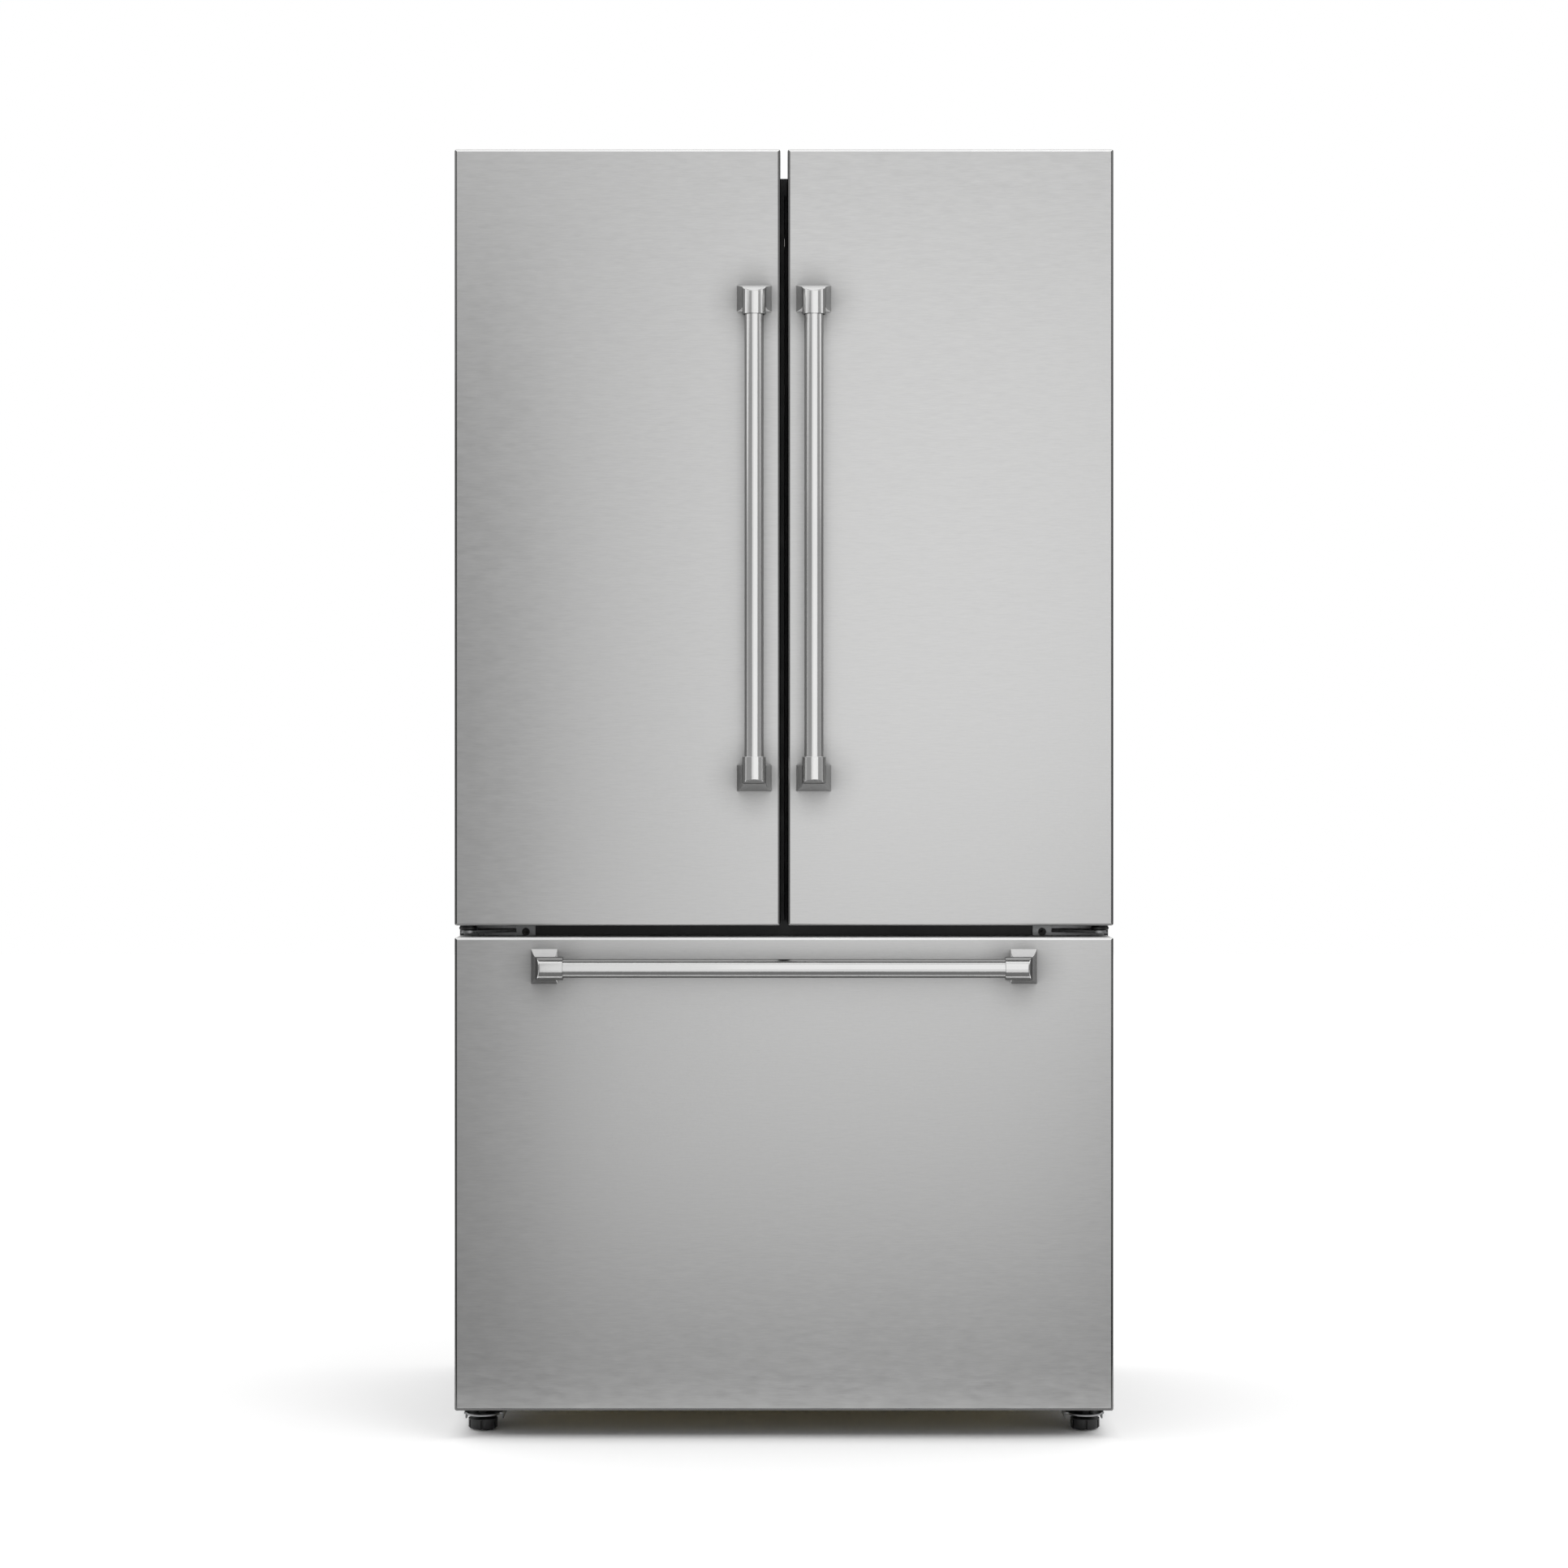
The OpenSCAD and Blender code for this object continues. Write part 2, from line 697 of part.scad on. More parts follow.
module shelf_frames() {
    color("#e3e5e5") on_shelves() {
        difference() {
            span([0, shelf_front, 0], [shelf_w, shelf_end, 12]);
            span([10, shelf_front + 10, 4], [shelf_w - 10, shelf_end - 10, 13]);
            span([22, shelf_front + 22, -1], [shelf_w - 22, shelf_end - 22, 13]);
        }
        for (x = [14, shelf_w - 16]) span([x, shelf_front + 90, -20], [x + 2, shelf_end, 0]);
    }
}

module crisper_cover() {
    color("#e3e5e5") difference() {
        span([-food_x, shelf_front, 1004], [food_x, shelf_end, 1022]);
        span([-food_x + 18, shelf_front + 18, 1014], [food_x - 18, shelf_end - 16, 1023]);
        span([-food_x + 34, shelf_front + 34, 1003], [food_x - 34, shelf_end - 34, 1023]);
    }
}

crisper_top = 996;
module crispers() {
    color("#dfe7e8") pair() {
        difference() {
            bin([-food_x + 5, shelf_front + 4, food_z0 + 6], [-4, shelf_end - 14, crisper_top], 3);
            // slot in the front wall for the humidity slider
            span([-260, shelf_front, 955], [-160, shelf_front + 8, 967]);
        }
    }
}

module humidity_slider() {
    span([-256, shelf_front + 2, 955.4], [-226, shelf_front + 9, 966.6]);
    span([-246, shelf_front - 6, 958], [-236, shelf_front + 2, 964]);
}
module left_humidity_slider() { color("#b8c4c8") humidity_slider(); }
module right_humidity_slider() { color("#b8c4c8") translate([420, 0, 0]) humidity_slider(); }

// Rail channel on the left wall: outline (x, z) of a C open towards the middle
module channel(x0, x1, z0, z1, t, y0, y1) {
    difference() {
        span([x0, y0, z0], [x1, y1, z1]);
        span([x0 + t, y0 - 1, z0 + t], [x1 + 1, y1 + 1, z1 - t]);
    }
}

module outer_rails() {
    color(steel_grey) pair() channel(-ice_x, -ice_x + 11, rail_z0, rail_z0 + rail_h, 1.5, rail_y0, rail_y0 + rail_len);
}
module middle_rails() {
    color(steel_grey) pair()
        channel(-ice_x + 2.5, -ice_x + 13.5, rail_z0 + 2.5, rail_z0 + rail_h - 2.5, 1.5,
            rail_y0 + 2, rail_y0 + rail_len - 4);
}
module inner_rails() {
    color(steel_grey) pair() {
        channel(-ice_x + 5, -ice_x + 19, rail_z0 + 5, rail_z0 + rail_h - 5, 1.5,
            y_inner + 30, rail_y0 + rail_len - 8);
        span([-ice_x + 16, y_inner + 30, rail_z0 - 20], [-ice_x + 19, y_inner + 50, rail_z0 + rail_h + 10]);
    }
}

// ---- freezer drawer ----

module drawer_skin() { color(steel_grey) pan(-half_w, half_w, drawer_bottom, drawer_top); }

module drawer_foam() { color("#e8dcae") pan_inside(-half_w, half_w, drawer_bottom, drawer_top); }

module drawer_liner() {
    color(liner_white) inner_panel(-half_w + 5, half_w - 5, drawer_bottom + 5, drawer_top - 5,
        -ice_x + 14, ice_x - 14, 112, 642, 30);
}

module drawer_gasket() {
    x1 = half_w - gasket_in;
    color("#5a5b5d") seal_frame(-x1, x1, 66, 682);
}

module freezer_basket() {
    x1 = ice_x - 24;
    basket_back = machine_y - machine_wall - 14;
    color("#dfe7e8") {
        bin([-x1, y_inner + 40, 118], [x1, basket_back, rail_z0 + rail_h + 6], 3);
        pair() span([-ice_x + 14.5, y_inner + 52, rail_z0 + rail_h - 5], [-x1, basket_back, rail_z0 + rail_h - 2]);
    }
}

// ---- nodes of the doors ----

// Shutter on the left door that closes the gap between the two doors
module mullion_flap() {
    color(black) span([flap_x0, flap_front, flap_z0], [flap_x1, flap_front + 2, flap_z1]);
}

// The heated and filled block behind the flap's plate, which the hinge pins go into
module mullion_block() {
    color(black) difference() {
        span([flap_x0, flap_front + 2, flap_body_z0], [flap_x1 - 2, flap_front + 20, flap_body_z1]);
        for (z = [flap_body_z0 - 1, flap_body_z1 - 24])
            translate([flap_pin_x, flap_pin_y, z]) cylinder(r = flap_pin_r + fit, h = 25);
    }
}

// Lugs on the door's inner panel with the pins that the flap turns on
module flap_lugs() {
    for (s = [0, 1]) {
        z = s == 0 ? flap_body_z0 - 8 : flap_body_z1 + 1;
        span([-rib_mid - 1, y_inner, z], [flap_x0 - 2.5, flap_pin_y + lug_r, z + 7]);
        span([-rib_mid - 1, flap_pin_y - lug_r, z], [flap_pin_x, flap_pin_y + lug_r, z + 7]);
        translate([flap_pin_x, flap_pin_y, z]) cylinder(r = lug_r, h = 7);
        translate([flap_pin_x, flap_pin_y, s == 0 ? z + 6 : flap_body_z1 - 20]) cylinder(r = flap_pin_r, h = 22);
    }
}

module left_door_skin() { color(steel_grey) door_skin(); }
module left_door_foam() { color("#e8dcae") door_foam(); }
module left_door_liner() { color(liner_white) { door_liner(); flap_lugs(); } }
module left_door_gasket() {
    color("#5a5b5d") difference() {
        door_gasket();
        // room for the flap's plate, and for the lugs that hold it
        span([flap_x0 - 6, flap_front - 2, gasket_bottom - 1], [0, y_case + 1, flap_z1 + 0.5]);
        for (z = [flap_body_z0 - 9, flap_body_z1]) span([-90, y_inner - 1, z], [0, y_case + 1, z + 9]);
    }
}
module left_hinge_blocks() { color(black) hinge_blocks(); }
module left_door_bins() { color("#dfe7e8") door_bins(); }
module left_handle_bar() { color(steel_grey) at_left_handle() bar(); }
module left_handle_posts() { color(steel_grey) at_left_handle() posts(); }

module right_door_skin() { color(steel_grey) mirror([1, 0, 0]) door_skin(); }
module right_door_foam() { color("#e8dcae") mirror([1, 0, 0]) door_foam(); }
module right_door_liner() { color(liner_white) mirror([1, 0, 0]) door_liner(); }
module right_door_gasket() {
    color("#5a5b5d") {
        mirror([1, 0, 0]) door_gasket();
        // thin lip that reaches towards the flap's free edge
        span([3.6, y_inner + 1, gasket_bottom], [gasket_mid, y_inner + 2.5, gasket_top]);
    }
}
module right_hinge_blocks() { color(black) mirror([1, 0, 0]) hinge_blocks(); }
module right_door_bins() { color("#dfe7e8") mirror([1, 0, 0]) door_bins(); }
module right_handle_bar() { color(steel_grey) at_right_handle() bar(); }
module right_handle_posts() { color(steel_grey) at_right_handle() posts(); }

module drawer_handle_bar() { color(steel_grey) at_drawer_handle() bar(); }
module drawer_handle_posts() { color(steel_grey) at_drawer_handle() posts(); }

module hinge_plates() {
    color("#8d8f92") pair() {
        top_hinge();
        middle_hinge();
    }
}
module hinge_covers() { color(black) pair() hinge_cover(); }
module hinge_screws() { color(black) pair() side_screws(); }

cabinet_shell();
back_panel();
insulation();
fresh_food_liner();
freezer_liner();
mid_rail();
base_frame();
compressor();
condenser();
fan_motors();
rear_cover();
evaporator();
evaporator_cover();
control_panel();
shelf_tracks();
shelf_glass();
shelf_frames();
crisper_cover();
crispers();
hinge_plates();
hinge_covers();
hinge_screws();
outer_rails();
roller_brackets();
power_inlet();
condenser_fan();
evaporator_fan();
left_humidity_slider();
right_humidity_slider();
left_foot();
right_foot();
front_rollers();
rear_rollers();
middle_rails();
left_door_skin();
left_door_foam();
left_door_liner();
left_door_gasket();
left_hinge_blocks();
left_handle_bar();
left_handle_posts();
left_door_bins();
mullion_flap();
mullion_block();
right_door_skin();
right_door_foam();
right_door_liner();
right_door_gasket();
right_hinge_blocks();
right_handle_bar();
right_handle_posts();
right_door_bins();
drawer_skin();
drawer_foam();
drawer_liner();
drawer_gasket();
drawer_handle_bar();
drawer_handle_posts();
freezer_basket();
inner_rails();
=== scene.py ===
import bpy
import bmesh
import json
from math import pi, radians
from mathutils import Matrix, Vector


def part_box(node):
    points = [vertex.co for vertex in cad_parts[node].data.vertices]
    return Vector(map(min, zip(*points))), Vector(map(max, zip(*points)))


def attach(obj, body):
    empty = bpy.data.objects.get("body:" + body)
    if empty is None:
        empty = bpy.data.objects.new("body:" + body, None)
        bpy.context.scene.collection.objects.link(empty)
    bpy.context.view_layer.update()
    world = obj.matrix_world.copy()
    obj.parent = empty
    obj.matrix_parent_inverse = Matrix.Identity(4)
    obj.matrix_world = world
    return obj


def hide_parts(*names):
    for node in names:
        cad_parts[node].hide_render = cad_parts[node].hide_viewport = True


# Stainless french door refrigerator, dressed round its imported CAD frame.
# Front of the doors towards -Y, +Z up; shapes are drawn in millimetres and made metres at the end.

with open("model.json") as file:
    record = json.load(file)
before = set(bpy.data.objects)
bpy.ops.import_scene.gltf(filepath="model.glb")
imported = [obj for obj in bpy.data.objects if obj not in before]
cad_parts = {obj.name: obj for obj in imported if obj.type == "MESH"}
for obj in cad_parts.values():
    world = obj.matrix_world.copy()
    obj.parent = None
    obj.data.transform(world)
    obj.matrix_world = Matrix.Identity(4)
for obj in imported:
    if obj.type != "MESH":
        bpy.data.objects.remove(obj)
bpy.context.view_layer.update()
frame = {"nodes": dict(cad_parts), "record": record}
mm = 0.001
record = frame["record"]
bodyOf = {n: b for b, names in record["behaviour"]["bodies"].items() for n in names}
slotOf = {s["node"]: s["material_slot"] for s in record["subparts"]}


def corners(node):  # a node's box in millimetres
    low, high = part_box(node)
    return low / mm, high / mm


def camel(name):  # left_door_skin as leftDoorSkin
    words = name.split("_")
    return words[0] + "".join(w.capitalize() for w in words[1:])


# Base colour (linear) and how much it varies, gloss, the grain's stretch along x, y, z, and the size of
# the larger patches. A steel's edge tint is how much it brightens at a glancing angle.
finishes = {
    # stainless: its shade is the reach of a painted shade that darkens its colour close to what stands on it
    "stainless": dict(base=(0.66, 0.66, 0.657), vary=0.035, metallic=1, rough=0.38, roughVary=0.03,
                      stretch=(55, 55, 600), patch=(40, 40, 170), bump=0.05, anisotropic=0.6, edgeTint=0.25,
                      shade=0.05),
    # side folds of the skins: a dark colour, a painted reflection of a dark surround
    "sideFold": dict(base=(0.17, 0.17, 0.169), vary=0.04, metallic=1, rough=0.16, roughVary=0.03,
                     stretch=(55, 55, 600), blotch=9, bump=0.03, edgeTint=0.3),
    # top folds of the skins: a near-white colour, a painted highlight
    "topFold": dict(base=(0.99, 0.99, 0.985), vary=0.01, metallic=0.3, rough=0.25, roughVary=0.03,
                    stretch=(55, 55, 600), blotch=9, bump=0.02),
    "handleSteel": dict(base=(0.80, 0.80, 0.795), vary=0.02, metallic=1, rough=0.15, roughVary=0.02,
                        stretch=(900, 900, 14), blotch=9, bump=0.02, edgeTint=0.12),
    "handleSteelAcross": dict(base=(0.80, 0.80, 0.795), vary=0.02, metallic=1, rough=0.15, roughVary=0.02,
                              stretch=(14, 900, 900), blotch=9, bump=0.02, edgeTint=0.12),
    "postSteel": dict(base=(0.90, 0.90, 0.896), vary=0.03, metallic=1, rough=0.2, roughVary=0.03,
                      stretch=(700, 700, 20), blotch=14, bump=0.02, edgeTint=0.5),
    # faces that look up or along a handle's bar: a near-white colour, a painted highlight
    "faceSteel": dict(base=(0.99, 0.99, 0.985), vary=0.01, metallic=0.15, rough=0.3, roughVary=0.04,
                      stretch=(14, 700, 700), blotch=14, bump=0.02),
    "flangeSteel": dict(base=(0.7, 0.7, 0.697), vary=0.03, metallic=0.3, rough=0.45, roughVary=0.05,
                        stretch=(55, 600, 600), blotch=9, bump=0.03),
    "cabinetPaint": dict(base=(0.036, 0.037, 0.039), vary=0.10, rough=0.42, roughVary=0.06,
                         stretch=(420, 420, 420), blotch=4, bump=0.12),
    "rearSteel": dict(base=(0.27, 0.275, 0.28), vary=0.12, metallic=0.85, rough=0.46, roughVary=0.08,
                      stretch=(60, 60, 60), blotch=6, bump=0.05),
    "frameSteel": dict(base=(0.055, 0.056, 0.058), vary=0.15, metallic=0.3, rough=0.5, roughVary=0.08,
                       stretch=(300, 300, 300), blotch=8, bump=0.1),
    "zinc": dict(base=(0.34, 0.345, 0.35), vary=0.15, metallic=1, rough=0.38, roughVary=0.08,
                 stretch=(220, 220, 220), blotch=25, bump=0.05),
    "railZinc": dict(base=(0.5, 0.505, 0.51), vary=0.1, metallic=1, rough=0.28, roughVary=0.06,
                     stretch=(500, 8, 500), blotch=12, bump=0.04),
    "linerWhite": dict(base=(0.76, 0.77, 0.77), vary=0.02, rough=0.34, roughVary=0.05,
                       stretch=(260, 260, 260), blotch=3, bump=0.05),
    "trimWhite": dict(base=(0.70, 0.71, 0.71), vary=0.025, rough=0.3, roughVary=0.05,
                      stretch=(320, 320, 320), blotch=6, bump=0.04),
    "panelGrey": dict(base=(0.5, 0.51, 0.52), vary=0.03, rough=0.28, roughVary=0.04,
                      stretch=(320, 320, 320), blotch=8, bump=0.03),
    "clearPlastic": dict(base=(0.93, 0.96, 0.97), vary=0.02, rough=0.07, roughVary=0.04,
                         stretch=(40, 40, 40), blotch=12, bump=0.02, clear=0.9, ior=1.46, alpha=0.55),
    "shelfGlass": dict(base=(0.90, 0.96, 0.94), vary=0.02, rough=0.02, roughVary=0.01,
                       stretch=(20, 20, 20), blotch=6, bump=0.01, clear=0.95, ior=1.5, alpha=0.4),
    "gasket": dict(base=(0.022, 0.022, 0.023), vary=0.2, rough=0.6, roughVary=0.1,
                   stretch=(180, 180, 180), blotch=20, bump=0.15),
    "blackPlastic": dict(base=(0.012, 0.012, 0.0125), vary=0.2, rough=0.38, roughVary=0.08,
                         stretch=(700, 700, 700), blotch=30, bump=0.2),
    "blackGloss": dict(base=(0.006, 0.006, 0.0065), vary=0.2, rough=0.08, roughVary=0.03,
                       stretch=(300, 300, 300), blotch=20, bump=0.01),
    "sliderGrey": dict(base=(0.27, 0.32, 0.34), vary=0.06, rough=0.35, roughVary=0.06,
                       stretch=(500, 500, 500), blotch=30, bump=0.08),
    "foam": dict(base=(0.78, 0.68, 0.4), vary=0.15, rough=0.9, roughVary=0.05,
                 stretch=(160, 160, 160), blotch=20, bump=0.6),
    "coilBlack": dict(base=(0.018, 0.017, 0.016), vary=0.25, rough=0.5, roughVary=0.1,
                      stretch=(200, 200, 200), blotch=30, bump=0.1),
    "coilAluminium": dict(base=(0.6, 0.61, 0.62), vary=0.12, metallic=1, rough=0.35, roughVary=0.08,
                          stretch=(200, 200, 200), blotch=30, bump=0.06),
    "compressorBlack": dict(base=(0.012, 0.012, 0.013), vary=0.2, rough=0.3, roughVary=0.1,
                            stretch=(150, 150, 150), blotch=14, bump=0.12),
    "motorGrey": dict(base=(0.16, 0.165, 0.17), vary=0.1, metallic=0.6, rough=0.45, roughVary=0.08,
                      stretch=(200, 200, 200), blotch=20, bump=0.08),
    "trackSteel": dict(base=(0.62, 0.63, 0.63), vary=0.04, rough=0.35, roughVary=0.05,
                       stretch=(300, 300, 300), blotch=10, bump=0.05),
    "copper": dict(base=(0.62, 0.27, 0.13), vary=0.2, metallic=1, rough=0.3, roughVary=0.1,
                   stretch=(200, 200, 200), blotch=40, bump=0.05),
    "lampLens": dict(base=(0.9, 0.9, 0.88), vary=0.02, rough=0.25, roughVary=0.05,
                     stretch=(600, 30, 600), blotch=20, bump=0.1, glow=1.1),
}
bumpDepth = 0.0004  # metres
made = {}


def pattern(nodes, links, stretch, detail):
    place = nodes.new("ShaderNodeTexCoord")
    turn = nodes.new("ShaderNodeMapping")
    turn.inputs["Scale"].default_value = stretch
    noise = nodes.new("ShaderNodeTexNoise")
    noise.inputs["Scale"].default_value = 1.0
    noise.inputs["Detail"].default_value = detail
    links.new(place.outputs["Object"], turn.inputs["Vector"])
    links.new(turn.outputs["Vector"], noise.inputs["Vector"])
    return noise.outputs["Fac"]


def spread(nodes, links, value, low, high, start=0.3, end=0.7):  # maps a pattern onto a range
    node = nodes.new("ShaderNodeMapRange")
    for name, number in (("From Min", start), ("From Max", end), ("To Min", low), ("To Max", high)):
        node.inputs[name].default_value = number
    links.new(value, node.inputs["Value"])
    return node.outputs["Result"]


def both(nodes, links, a, b, how="ADD"):  # joins two values in a Math node
    node = nodes.new("ShaderNodeMath")
    node.operation = how
    links.new(a, node.inputs[0])
    links.new(b, node.inputs[1])
    return node.outputs[0]


def finish(name):
    if name in made:
        return made[name]
    f = finishes[name]
    mat = bpy.data.materials.new(name)
    mat.use_nodes = True
    nodes, links = mat.node_tree.nodes, mat.node_tree.links
    shader = nodes["Principled BSDF"]
    grain = pattern(nodes, links, f["stretch"], 3)
    blotch = pattern(nodes, links, f.get("patch", (f.get("blotch", 1),) * 3), 4)
    mixed = both(nodes, links, spread(nodes, links, grain, -f["vary"], f["vary"]),
                 spread(nodes, links, blotch, 1 - f["vary"], 1 + f["vary"]))
    if "shade" in f:  # painted shade: ambient occlusion darkens the steel's colour close to what stands on it
        paintedShade = nodes.new("ShaderNodeAmbientOcclusion")
        paintedShade.inputs["Distance"].default_value = f["shade"]
        paintedShade.samples = 8
        mixed = both(nodes, links, mixed, paintedShade.outputs["AO"], "MULTIPLY")
    tint = nodes.new("ShaderNodeVectorMath")
    tint.operation = "SCALE"
    tint.inputs[0].default_value = f["base"]
    links.new(mixed, tint.inputs["Scale"])
    links.new(tint.outputs[0], shader.inputs["Base Color"])
    sheen = both(nodes, links, spread(nodes, links, grain, -f["roughVary"], f["roughVary"]),
                 spread(nodes, links, blotch, f["rough"] - f["roughVary"], f["rough"] + f["roughVary"]))
    links.new(sheen, shader.inputs["Roughness"])
    bump = nodes.new("ShaderNodeBump")
    bump.inputs["Strength"].default_value = f["bump"]
    bump.inputs["Distance"].default_value = bumpDepth
    links.new(grain, bump.inputs["Height"])
    links.new(bump.outputs["Normal"], shader.inputs["Normal"])
    shader.inputs["Metallic"].default_value = f.get("metallic", 0)
    shader.inputs["IOR"].default_value = f.get("ior", 1.5)
    shader.inputs["Specular Tint"].default_value = (*(f.get("edgeTint", 1),) * 3, 1)
    shader.inputs["Transmission Weight"].default_value = f.get("clear", 0)
    shader.inputs["Alpha"].default_value = f.get("alpha", 1)
    if "anisotropic" in f:  # the glow is drawn out across the grain
        around = nodes.new("ShaderNodeTangent")
        around.direction_type = "RADIAL"
        around.axis = "Z"
        links.new(around.outputs[0], shader.inputs["Tangent"])
        shader.inputs["Anisotropic"].default_value = f["anisotropic"]
        shader.inputs["Anisotropic Rotation"].default_value = 0.25
    if "glow" in f:
        shader.inputs["Emission Color"].default_value = (1, 0.98, 0.94, 1)
        shader.inputs["Emission Strength"].default_value = f["glow"]
    made[name] = mat
    return mat


def vertsOf(geom):
    return [g for g in geom if isinstance(g, bmesh.types.BMVert)]


def edgesOf(geom):
    return [g for g in geom if isinstance(g, bmesh.types.BMEdge)]


def cutAt(bm, spot, way, **more):  # cuts a mesh with a plane, and gives what the cut made
    return bmesh.ops.bisect_plane(bm, geom=bm.verts[:] + bm.edges[:] + bm.faces[:], plane_co=spot,
                                  plane_no=way, **more)["geom_cut"]


def addBox(bm, low, high):
    verts = bmesh.ops.create_cube(bm, size=1)["verts"]
    low, high = Vector(low), Vector(high)
    bmesh.ops.scale(bm, vec=high - low, verts=verts)
    bmesh.ops.translate(bm, vec=(low + high) / 2, verts=verts)
    return verts


def edgesIn(verts):
    chosen = set(verts)
    edges = {e for v in verts for e in v.link_edges}
    return [e for e in edges if e.verts[0] in chosen and e.verts[1] in chosen]


def roundEdges(bm, edges, width, segments=3, clamp=True):
    if edges:
        bmesh.ops.bevel(bm, geom=list(edges), offset=width, offset_type="OFFSET", segments=segments,
                        profile=0.5, affect="EDGES", clamp_overlap=clamp, material=-1)


straight, level = 0.999, 0.06  # how closely an edge has to run along an axis, and lie in a plane


def anyEdge(edge):
    return True


def runs(edge, axis):  # whether an edge runs along that axis
    way = edge.verts[1].co - edge.verts[0].co
    return abs(way[axis]) > straight * way.length


def lies(edge, axis, *places):  # whether both its ends are in one of those planes
    return any(all(abs(v.co[axis] - p) < level for v in edge.verts) for p in places)


def sharpEdges(bm, test=anyEdge, least=50):
    return [e for e in bm.edges if e.is_manifold and e.calc_face_angle(0) > radians(least) and test(e)]


def roundedBox(bm, low, high, width, segments=3, test=anyEdge):
    verts = addBox(bm, low, high)
    roundEdges(bm, [e for e in edgesIn(verts) if test(e)], width, segments)


def addRod(bm, a, b, radius, segments=24, endRadius=None):
    a, b = Vector(a), Vector(b)
    verts = bmesh.ops.create_cone(bm, cap_ends=True, segments=segments, depth=(b - a).length, radius1=radius,
                                  radius2=radius if endRadius is None else endRadius)["verts"]
    turn = (b - a).to_track_quat("Z", "Y").to_matrix()
    bmesh.ops.rotate(bm, cent=(0, 0, 0), matrix=turn, verts=verts)
    bmesh.ops.translate(bm, vec=(a + b) / 2, verts=verts)
    return verts


def lathe(bm, outline, turns=64):  # outline of (radius, height) turned round Z, closed at the poles
    verts = [bm.verts.new((r, 0, z)) for r, z in outline]
    edges = [bm.edges.new(pair) for pair in zip(verts, verts[1:])]
    bmesh.ops.spin(bm, geom=verts + edges, cent=(0, 0, 0), axis=(0, 0, 1), angle=2 * pi, steps=turns,
                   use_merge=True)
    bmesh.ops.remove_doubles(bm, verts=bm.verts, dist=1e-4)


def joined(bm, part, *places):  # adds a part once at each place
    mesh = bpy.data.meshes.new("part")
    part.to_mesh(mesh)
    part.free()
    for place in places:
        copy = mesh.copy()
        copy.transform(place)
        bm.from_mesh(copy)
        bpy.data.meshes.remove(copy)
    bpy.data.meshes.remove(mesh)


def at(x, y, z):
    return Matrix.Translation((x, y, z))


def drawn(bm, outline, start, end):  # an outline of (y, z) drawn out along X
    face = bm.faces.new([bm.verts.new((start, y, z)) for y, z in outline])
    grown = bmesh.ops.extrude_face_region(bm, geom=[face])["geom"]
    bmesh.ops.translate(bm, vec=(end - start, 0, 0), verts=vertsOf(grown))


def heightOf(face):
    return face.calc_center_median().z


def openShell(low, high, corner, foot):  # a rounded box without its lid
    part = bmesh.new()
    verts = addBox(part, low, high)
    roundEdges(part, [e for e in edgesIn(verts) if runs(e, 2)], corner, 6)
    roundEdges(part, min(part.faces, key=heightOf).edges, foot, 4)
    bmesh.ops.delete(part, geom=[max(part.faces, key=heightOf)], context="FACES_ONLY")
    return part


def tray(low, high, wall, corner, foot, rim, slot=None):  # slot is a box cut through its front wall
    innerLow = [v + wall for v in low]
    innerHigh = (high[0] - wall, high[1] - wall, high[2])
    shells = [openShell(low, high, corner, foot), openShell(innerLow, innerHigh, corner - wall, foot - 1)]
    bmesh.ops.reverse_faces(shells[1], faces=shells[1].faces)
    if slot:
        for shell in shells:
            for axis, side in ((0, 0), (0, 1), (2, 0), (2, 1)):
                cutAt(shell, slot[side], Vector([float(i == axis) for i in range(3)]))
            inside = [f for f in shell.faces if all(a < c < b for a, c, b in
                                                    zip(slot[0], f.calc_center_median(), slot[1]))]
            bmesh.ops.delete(shell, geom=inside, context="FACES")
    bm = bmesh.new()
    for shell in shells:
        joined(bm, shell, here)
    rims = [e for e in bm.edges if e.is_boundary and lies(e, 2, high[2])]
    bmesh.ops.bridge_loops(bm, edges=rims)
    rest = [e for e in bm.edges if e.is_boundary]
    if rest:
        bmesh.ops.bridge_loops(bm, edges=rest)
    roundEdges(bm, [e for e in bm.edges if e.is_manifold and lies(e, 2, high[2])
                    and any(abs(f.normal.z) < 0.5 for f in e.link_faces)], rim, 3)
    return bm


def band(low, high, wall, corner, edge=0.5):  # a flat hoop with rounded corners
    bm = bmesh.new()
    verts = bmesh.ops.create_grid(bm, x_segments=1, y_segments=1, size=0.5)["verts"]
    bmesh.ops.scale(bm, vec=(high[0] - low[0], high[1] - low[1], 1), verts=verts)
    bmesh.ops.translate(bm, vec=((low[0] + high[0]) / 2, (low[1] + high[1]) / 2, low[2]), verts=verts)
    bmesh.ops.bevel(bm, geom=verts, offset=corner, offset_type="OFFSET", segments=6, profile=0.5,
                    affect="VERTICES", material=-1)
    middle = bm.faces[:]
    bmesh.ops.inset_region(bm, faces=middle, thickness=wall, use_boundary=True, use_even_offset=True)
    bmesh.ops.delete(bm, geom=middle, context="FACES")
    grown = bmesh.ops.extrude_face_region(bm, geom=bm.faces[:])["geom"]
    bmesh.ops.translate(bm, vec=(0, 0, high[2] - low[2]), verts=vertsOf(grown))
    bmesh.ops.recalc_face_normals(bm, faces=bm.faces)
    roundEdges(bm, sharpEdges(bm, least=70), edge, 2)
    return bm


